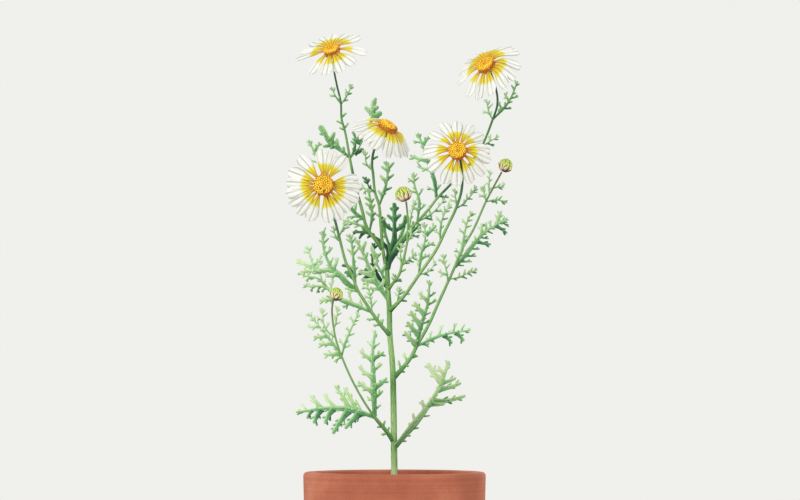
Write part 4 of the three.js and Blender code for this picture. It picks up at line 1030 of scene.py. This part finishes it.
def petalsOf(name, head):
    # A petal is a grid of s across and t along. Its length falls off at the corners and in the notches of its
    # end. It leaves the head flat, turns to the droop by degrees, and hangs a little of its own weight.
    centre, out, right, up = axesOf(head, headUp)
    turns = turnsOf(head)[:, None, None]

    def deal(low, high):
        return draw.uniform(low, high, turns.shape)

    t = np.linspace(0, 1, petal["rows"])[None, :, None] ** 0.9
    s = np.cos(np.linspace(np.pi, 0, petal["columns"]))
    reach, ring = head["reach"], head["reach"] * petal["ring"]
    full = reach * deal(*petal["lengths"])
    notches = 0.5 - 0.5 * np.cos(np.pi * (s * deal(*petal["notches"]) + deal(-0.2, 0.2)) * 1.25)
    end = full * (1 - petal["corner"] * np.abs(s) ** 3.4 - petal["notch"] * notches * deal(0.3, 1.0))
    distance = reach * petal["foot"] + (end - reach * petal["foot"]) * t
    half = reach * petal["half"] * deal(*petal["widths"]) * (
        head["foot"] + (1 - head["foot"]) * smooth(*petal["widens"], distance / reach))
    loss, narrowing = petal["narrows"]
    half = half * (1 - loss * smooth(narrowing, 1.0, t))
    sway = petal["sway"]
    droop = head["droop"] + sway * np.sin(turns * 5) + deal(-sway, sway)
    span = reach - ring
    way = np.maximum(0, distance - ring) / span
    bent = np.where(way < petal["bend"], way**2 / petal["bend"] / 2, way - petal["bend"] / 2)[..., None]
    away, side = spoke(turns, right, up), spoke(turns, up, -right)
    fall = away * np.cos(droop)[..., None] - out * np.sin(droop)[..., None] - np.array([0, 0, head["hang"]])
    line = (centre + away * (np.minimum(distance, ring)[..., None] + span * (way[..., None] - bent))
            + unit(fall) * span * bent)
    twist = (petal["twist"] * deal(0.6, 1.4) * smooth(0.0, 0.5, t))[..., None]
    across = side * np.cos(twist) + out * np.sin(twist)
    rise = -petal["ridge"] * np.cos(s * 7.5 + deal(-1.6, 1.6)) * smooth(0.1, 0.4, t)
    rise = rise - petal["camber"] * half * s * s + petal["wave"] * np.sin(t * 5 + turns * 3) * t
    middle = line + across * (half * s)[..., None] + out * rise[..., None]
    thick = petal["thick"] / 2 * np.sqrt(np.maximum(0, 1 - s * s))
    thick = thick * (1 - petal["thins"] * smooth(0.85, 1.0, t))
    off = out * thick[..., None]
    growth = Growth()
    growth.shells(middle + off, middle - off, reach=distance / reach, across=s, seed=deal(0, 1))
    growth.build("petals" + name.capitalize(), skins["petal"], "petal_white", ["petals_" + name])


# A floret's heights and radii are shares of its own size, from its foot to its hollow or round end.
disc = {
    "foot": 0.0009, "under": -0.001, "florets": 100, "tall": 0.0012, "sunk": 0.0003, "crowd": 1.2,
    "opens": (0.35, 0.6),        # from this share of the radius to that one
    "openHeights": (0.0, 0.1, 0.4, 0.75, 0.94, 1.0, 0.86, 0.74),
    "openRadii": (0.5, 0.62, 0.95, 1.05, 0.86, 0.4),
    "shutHeights": (0.0, 0.1, 0.35, 0.62, 0.85, 0.96, 1.0, 1.01),
    "shutRadii": (0.6, 0.8, 0.95, 0.85, 0.55, 0.22),
}


def discOf(name, head):
    # Florets stand on a dome in a spiral of golden turns. The outer ones are open, with a hollow end, and the
    # inner ones are closed and round.
    centre, out, right, up = axesOf(head, headUp)
    radius, rise = head["disc"]
    number = np.arange(disc["florets"])
    share = np.sqrt((number + 0.5) / len(number))
    turn = number * np.pi * (3 - np.sqrt(5))
    away = spoke(turn, right, up)
    height = disc["foot"] + rise * np.sqrt(np.maximum(1 - share**2 * 0.97, 0))
    share = share * (1 + 0.03 * np.sin(number * 2.4))
    foot = centre + away * (radius * share * 0.97)[:, None] + out * height[:, None]
    normal = unit(away * (share * 0.9)[:, None]
                  + out * np.sqrt(np.maximum(1.02 - share**2, 0))[:, None] * 1.4)
    opened = smooth(*disc["opens"], share)[:, None]
    heights, radii = (opened * np.array(disc["open" + kind]) + (1 - opened) * np.array(disc["shut" + kind])
                      for kind in ("Heights", "Radii"))
    tall = disc["tall"] * draw.uniform(0.75, 1.15, len(number))[:, None] * (0.8 + 0.4 * opened)
    wide = radius * np.sqrt(np.pi / len(number)) / 2 * disc["crowd"] * draw.uniform(0.8, 1.1, len(number))
    paths = foot[:, None] + normal[:, None] * (heights * tall - disc["sunk"])[..., None]
    growth = Growth()
    growth.rods(*lathe(paths, radii * wide[:, None], normal, right, 8), ring=share[:, None, None],
                along=np.linspace(0, 1, 6)[:, None], seed=draw.uniform(0, 1, (len(number), 1, 1)),
                lee=(away @ shadeWay * share)[:, None, None])
    angle = np.linspace(0.0, np.pi / 2, 9)
    levels = np.concatenate([[disc["under"]] * 2, disc["foot"] + rise * np.sin(angle)])
    widths = radius * np.concatenate([[0.94], np.cos(angle[:-1]) * 0.985])
    growth.rods(*lathe((centre + out * levels[:, None])[None], widths[None], out[None], right, 40),
                ring=1.0, along=0.1, seed=0.5, lee=0.0)
    growth.build("disc" + name.capitalize(), skins["disc"], "disc_yellow", ["disc_" + name])


def bracts(paths, half, shares, foot, belly, thick, fronts, around, channel):
    # A row of blades of one form, one along each path.
    wide = half * bladeWidth(shares[1:-1], foot, belly) * np.ones((len(paths), 1))
    return sweep(paths, wide, np.full_like(wide, thick), fronts, around, channel)


# Heights are out of the petals' plane, and shares are of the rim. A row's half width is in metres.
cup = {
    "depth": 0.0075, "rim": 0.86, "foot": 0.0011,
    "heights": (-0.0075, -0.006, -0.00315, -0.001), "shares": (0.62, 0.95, 1.0),
    "seat": 0.0002, "bractThick": 0.00022,
    "rows": [
        {"many": 15, "low": -0.0052, "high": -0.001, "half": 0.00165, "out": 1.03, "turn": 0.0},
        {"many": 13, "low": -0.0066, "high": -0.0022, "half": 0.0016, "out": 1.07, "turn": 0.5},
        {"many": 10, "low": -0.0074, "high": -0.0042, "half": 0.0014, "out": 1.1, "turn": 0.2},
    ],
}


def cupRadius(heights, rim):
    return np.interp(heights, cup["heights"], [cup["foot"], *(share * rim for share in cup["shares"])])


def cupOf(name, head):
    # A bowl, and rows of bracts that follow its side, each row a little outside the one above it.
    centre, out, right, up = axesOf(head, headUp)
    rim = head["disc"][0] * cup["rim"]
    growth = Growth()
    heights = np.linspace(-cup["depth"], cup["heights"][-1], 12)
    levels = np.concatenate([[heights[0] - cup["seat"]], heights, [heights[-1]]])
    path = centre + out * levels[:, None]
    growth.rods(*lathe(path[None], cupRadius(heights, rim)[None], out[None], right, 32),
                tone=0.55, along=0.2, lee=0.0, rib=1.0)
    shares = np.array([0, 0.05, 0.25, 0.45, 0.65, 0.82, 0.93, 1])
    for row in cup["rows"]:
        turns = circle(row["many"], row["turn"]) + draw.uniform(-0.05, 0.05, row["many"])
        away = spoke(turns, right, up)
        level = row["low"] + (row["high"] - row["low"]) * shares
        radii = cupRadius(level, rim) * row["out"] + cup["seat"]
        paths = centre + out * level[:, None] + away[:, None] * radii[:, None]
        fronts = unit(away - out * 0.5)[:, None]
        rings, poles, v, lee = bracts(paths, row["half"], shares, 0.7, 0.5, cup["bractThick"], fronts, 8, -0.12)
        growth.rods(rings, poles, tone=0.5, along=shares[1:-1, None] * 0.7, lee=lee, rib=np.cos(v))
    growth.build("cup" + name.capitalize(), skins["leaf"], "leaf_green", ["stalk_" + name + "Head"])


# Low and high are heights of a row of bracts over the half length, and half is a share of the radius.
bract = {
    "core": 0.92, "girth": 0.94,  # of the bud's half length and radius
    "seat": 0.0006, "thick": 0.00025,
    "tips": 0.16,                # how far the tips of the lowest bracts may stand off, of the radius
    "rows": [
        {"many": 9, "low": -0.98, "high": -0.1, "half": 0.27, "out": 1.10, "tone": 0.0},
        {"many": 12, "low": -0.85, "high": 0.22, "half": 0.2, "out": 1.05, "tone": 0.1},
        {"many": 14, "low": -0.35, "high": 0.5, "half": 0.19, "out": 1.03, "tone": 0.72},
        {"many": 14, "low": 0.0, "high": 0.82, "half": 0.15, "out": 1.03, "tone": 0.9},
        {"many": 10, "low": 0.45, "high": 0.99, "half": 0.1, "out": 1.04, "tone": 1.0},
    ],
}


def budOf(name, bud):
    # A round core, and rows of bracts along its meridians.
    centre, up, right, deep = axesOf(bud, budUp)
    radius, half = bud["radius"] * bract["girth"], bud["half"] * bract["core"]
    growth = Growth()
    angles = np.linspace(-np.pi / 2, np.pi / 2, 16)
    path = centre + up * (np.sin(angles) * half)[:, None]
    level = np.sin(angles[1:-1])[:, None]
    growth.rods(*lathe(path[None], (np.cos(angles[1:-1]) * radius)[None], up[None], right, 32),
                tone=0.5 + 0.5 * level, along=0.1, rib=0.3, level=level)
    shares = np.array([0, 0.06, 0.22, 0.4, 0.58, 0.75, 0.88, 0.96, 1])
    for i, row in enumerate(bract["rows"]):
        turns = circle(row["many"], 0.5 * (i % 2) + 0.15 * i) + draw.uniform(-0.06, 0.06, row["many"])
        away = spoke(turns, right, deep)
        low, high = np.arcsin(row["low"]), np.arcsin(row["high"])
        angle = low + (high - low) * shares
        off = bract["tips"] * draw.uniform(0, 1, (row["many"], 1)) ** 3 if i == 0 else 0.0
        stand = row["out"] + 0.05 * smooth(0.7, 1.0, shares) + off * smooth(0.5, 1.0, shares[None])
        paths = (centre + up * (np.sin(angle) * half * stand)[..., None]
                 + away[:, None] * (np.cos(angle) * radius * stand)[..., None])
        cos, sin = np.cos(angle)[1:-1, None], np.sin(angle)[1:-1, None]
        rings, poles, v, _ = bracts(paths, row["half"] * radius, shares, 0.8, 0.45, bract["thick"],
                                    away[:, None] * cos + up * sin, 10, -0.3)
        # The level drops on the lower right side, so that the brown base reaches higher there: painted shade.
        growth.rods(rings, poles, tone=row["tone"], along=shares[1:-1, None], rib=np.abs(np.sin(v)),
                    level=sin - 0.5 * (away @ shadeWay)[:, None, None])
    growth.build("bud" + name.capitalize(), skins["bract"], "bud_green", ["bud_" + name])


grow("mainStem", "foliageStem", "stem", stem, rods["stem"], place(stem["route"]))
for name, stalk in stalks.items():
    title = name[0].upper() + name[1:]
    grow("stalk" + title, "foliage" + title, "stalk_" + name, stalk, rods["head" if "head" in stalk else "bud"],
         np.vstack([place(stalk["route"]), endOf(stalk)]))
print("stem and stalks:", 1 + len(stalks))
for name, head in heads.items():
    petalsOf(name, head)
    discOf(name, head)
    cupOf(name, head)
for name, bud in buds.items():
    budOf(name, bud)
print("flower heads and buds:", len(heads), len(buds))

# Pot and soil
pot = {
    "height": 0.130, "foot": 0.049, "shoulder": 0.064, "rim": 0.072, "rimHeight": 0.028, "wall": 0.0055,
    "floor": 0.008, "holes": 5, "holeRadius": 0.005, "holeRing": 0.027, "around": 160, "creaseAngle": 50,
    "footRound": 0.0025, "rimRound": 0.0022, "lipRound": 0.003, "insideRound": 0.0025, "floorRound": 0.003,
    "flare": 0.004,              # how much wider than the shoulder the wall would be at the very top
    "middle": 0.004,             # how far from the axis the profile starts and ends
    "sideLow": (0.0003, 0.004), "sideHigh": (-0.0006, -0.003),  # the wall's ends, from the foot and shoulder
    "crease": (0.002, -0.0012), "rimEdge": (-0.0016, 0.0026),  # middles of the arcs under the rim
    "bandLow": (0.0006, 0.006), "bandHigh": (0.001, -0.0045),  # ends of the rim's band, from its edges
    "lipIn": 0.002, "insideTop": 0.12,
    "drill": (-0.002, 0.012),    # the lowest and highest points of a drain hole's cutter
}
soil = {
    "top": 0.118, "rings": 70, "around": 200, "gap": 0.0003, "edge": 0.0012, "mound": (0.0012, 0.012),
    "swells": 0.0008, "clods": 0.0007, "fines": 0.0003,  # the heights of the waves
    "under": 0.0004,             # the gap to the pot's floor, and to its wall there
    "crumbs": 900, "crumbSize": (0.0006, 0.0022), "crumbRough": 0.07,
    "clear": (0.004, 0.0015),    # how far crumbs stay from the axis and from the wall
}
upright, forward = np.array([[0, 0, 1.0]]), np.array([0, 1.0, 0])


def potInside(height):
    return pot["foot"] + (pot["shoulder"] + pot["flare"] - pot["foot"]) * height / pot["height"] - pot["wall"]


def arcOf(x, z, radius, start, stop, count):
    angle = np.radians(np.linspace(start, stop, count))
    return np.stack([x + radius * np.cos(angle), z + radius * np.sin(angle)], 1)


def beside(x, z, name):
    # A point of the pot's profile, near one of its corners.
    return np.array([x, z]) + pot[name]


def makePot():
    # A turned profile, with arcs at the foot, under the rim, at the lip and at the floor, cut by drain holes.
    foot, shoulder, rim, top = pot["foot"], pot["shoulder"], pot["rim"], pot["height"]
    low = top - pot["rimHeight"]
    footRound, rimRound, lipRound, insideRound, floorRound = (
        pot[name + "Round"] for name in ("foot", "rim", "lip", "inside", "floor"))
    bottom = pot["floor"] + floorRound
    profile = np.vstack([
        [[pot["middle"], 0.0]], [[foot * 0.6, 0.0]], arcOf(foot - footRound, footRound, footRound, -90, -8, 7),
        np.linspace(beside(foot, 0, "sideLow"), beside(shoulder, low, "sideHigh"), 14),
        arcOf(*beside(shoulder, low, "crease"), rimRound, 200, 100, 5),
        arcOf(*beside(rim, low, "rimEdge"), rimRound, -80, 0, 6),
        np.linspace(beside(rim, low, "bandLow"), beside(rim, top, "bandHigh"), 6),
        arcOf(rim - pot["lipIn"], top - lipRound, lipRound, 0, 90, 8),
        arcOf(potInside(top) + insideRound, top - insideRound, insideRound, 90, 180, 7),
        np.linspace([potInside(pot["insideTop"]), pot["insideTop"]], [potInside(bottom), bottom], 12),
        arcOf(potInside(bottom) - floorRound, bottom, floorRound, 0, -90, 6),
        [[pot["middle"], pot["floor"]]],
    ])
    levels = np.concatenate([[0.0], profile[:, 1], [pot["floor"]]])
    axis = levels[:, None] * upright
    growth = Growth()
    growth.rods(*lathe(axis[None], profile[None, :, 0], upright, forward, pot["around"]), seed=0.5)
    piece = growth.build("clayPot", skins["clay"], "terracotta", ["pot"], np.radians(pot["creaseAngle"]))
    turns = circle(pot["holes"])[:, None]
    drills = np.stack([pot["holeRing"] * np.cos(turns), pot["holeRing"] * np.sin(turns), turns * 0], -1)
    drills = drills + np.repeat(pot["drill"], 2)[:, None] * upright
    cutter = Growth()
    cutter.rods(*lathe(drills, np.full((len(turns), 2), pot["holeRadius"]), upright, forward, 24), seed=0.5)
    carve(piece, cutter)


def carve(piece, cutter):
    # Takes the cutter's surfaces out of the piece.
    mesh = bpy.data.meshes.new("drainCutter")
    mesh.from_pydata(np.concatenate(cutter.spots), [], cutter.faces)
    tool = bpy.data.objects.new("drainCutter", mesh)
    bpy.context.scene.collection.objects.link(tool)
    cut = piece.modifiers.new("drain", "BOOLEAN")
    cut.operation, cut.solver, cut.object = "DIFFERENCE", "EXACT", tool
    bpy.context.view_layer.objects.active = piece
    bpy.ops.object.modifier_apply(modifier=cut.name)
    bpy.data.objects.remove(tool)


def soilHeight(x, y):
    # Long low swells, clods of a few millimetres, and a slight mound at the stem.
    swell = soil["swells"] * np.sin(x * 310 + 1) * np.cos(y * 270)
    clods = soil["clods"] * np.sin(x * 900 + 2 * np.sin(y * 640))
    clods = clods * np.cos(y * 830 + 1.6 * np.sin(x * 520))
    fine = soil["fines"] * np.sin(x * 2300 + y * 900) * np.sin(y * 2100 - x * 700)
    high, wide = soil["mound"]
    return soil["top"] + swell + clods + fine + high * np.exp(-(x * x + y * y) / wide**2)


def makeSoil():
    # A bed of rings whose height is a sum of waves, and crumbs dropped on it at random.
    edge = potInside(soil["top"]) - soil["gap"]
    shares = np.linspace(1, 0, soil["rings"] + 2)[:-2] ** 0.8
    v = circle(soil["around"])
    x, y = np.cos(v) * edge * shares[:, None], np.sin(v) * edge * shares[:, None]
    z = soilHeight(x, y) - soil["edge"] * smooth(0.9, 1.0, shares)[:, None]
    low = pot["floor"] + soil["under"]
    base = potInside(low) - soil["under"]
    foot = np.stack([np.cos(v) * base, np.sin(v) * base, np.full_like(v, low)], -1)
    rings = np.concatenate([foot[None], np.stack([x, y, z], -1)])[None]
    growth = Growth()
    growth.rods(rings, np.array([[[0, 0, low], [0, 0, soilHeight(0.0, 0.0)]]]), seed=0.5)
    many, (least, most), (inner, outer) = soil["crumbs"], soil["crumbSize"], soil["clear"]
    radius = np.sqrt(draw.uniform(inner**2, (edge - outer) ** 2, many))
    turn = draw.uniform(0, 2 * np.pi, many)
    x, y = radius * np.cos(turn), radius * np.sin(turn)
    size = (least + (most - least) * draw.uniform(0, 1, many) ** 2.5)[:, None]
    angles = np.linspace(-np.pi / 2, np.pi / 2, 6)
    axis = unit(draw.normal(size=(many, 3)))
    centre = np.stack([x, y, soilHeight(x, y) + size[:, 0] * 0.2], 1)
    paths = centre[:, None] + axis[:, None] * (np.sin(angles) * size)[..., None]
    radii = np.cos(angles[1:-1]) * size * draw.uniform(0.75, 1.15, (many, 4))
    rings, poles = lathe(paths, radii, axis, np.array([0.3, 0.5, 0.81]), 6)
    rings = rings + draw.normal(scale=soil["crumbRough"], size=rings.shape) * size[..., None, None]
    growth.rods(rings, poles, seed=draw.uniform(0, 1, (many, 1, 1)))
    growth.build("soilBed", skins["soil"], "soil", ["soil"])


makePot()
makeSoil()
print("pot and soil")

# Floor and light
studio = {
    "floorRadius": 3.0, "floorSides": 96, "floor": "#e4e3df", "world": "#f0f0ed", "worldStrength": 1.0,
    "target": (0.0, 0.0, 0.28),  # what the lamps point at
    "lamps": {
        "key": {"at": (-1.6, -2.4, 2.4), "size": 1.2, "power": 40},
        "fill": {"at": (2.4, -1.6, 1.2), "size": 2.0, "power": 5},
        "back": {"at": (0.8, 2.2, 1.8), "size": 1.8, "power": 12},
    },
}


def makeFloor():
    finish = Finish("floorPaper", Roughness=0.9)
    v = circle(studio["floorSides"])
    rim = np.stack([np.cos(v), np.sin(v), np.zeros_like(v)], 1) * studio["floorRadius"]
    mesh = bpy.data.meshes.new("floor")
    mesh.from_pydata(rim, [], [list(range(len(rim)))])
    mesh.materials.append(finish.wear(paint(studio["floor"])))
    floor = bpy.data.objects.new("floor", mesh)
    bpy.context.scene.collection.objects.link(floor)


def makeLights():
    world = bpy.data.worlds.new("studio")
    world.use_nodes = True
    sky = world.node_tree.nodes["Background"]
    sky.inputs["Color"].default_value = paint(studio["world"])
    sky.inputs["Strength"].default_value = studio["worldStrength"]
    bpy.context.scene.world = world
    for name, lamp in studio["lamps"].items():
        light = bpy.data.lights.new(name, "AREA")
        light.shape, light.size, light.energy = "DISK", lamp["size"], lamp["power"]
        holder = bpy.data.objects.new(name, light)
        holder.location = lamp["at"]
        away = Vector(studio["target"]) - Vector(lamp["at"])
        holder.rotation_euler = away.to_track_quat("-Z", "Y").to_euler()
        bpy.context.scene.collection.objects.link(holder)
    bpy.context.scene.view_settings.view_transform = "Standard"


makeFloor()
makeLights()
print("studio")
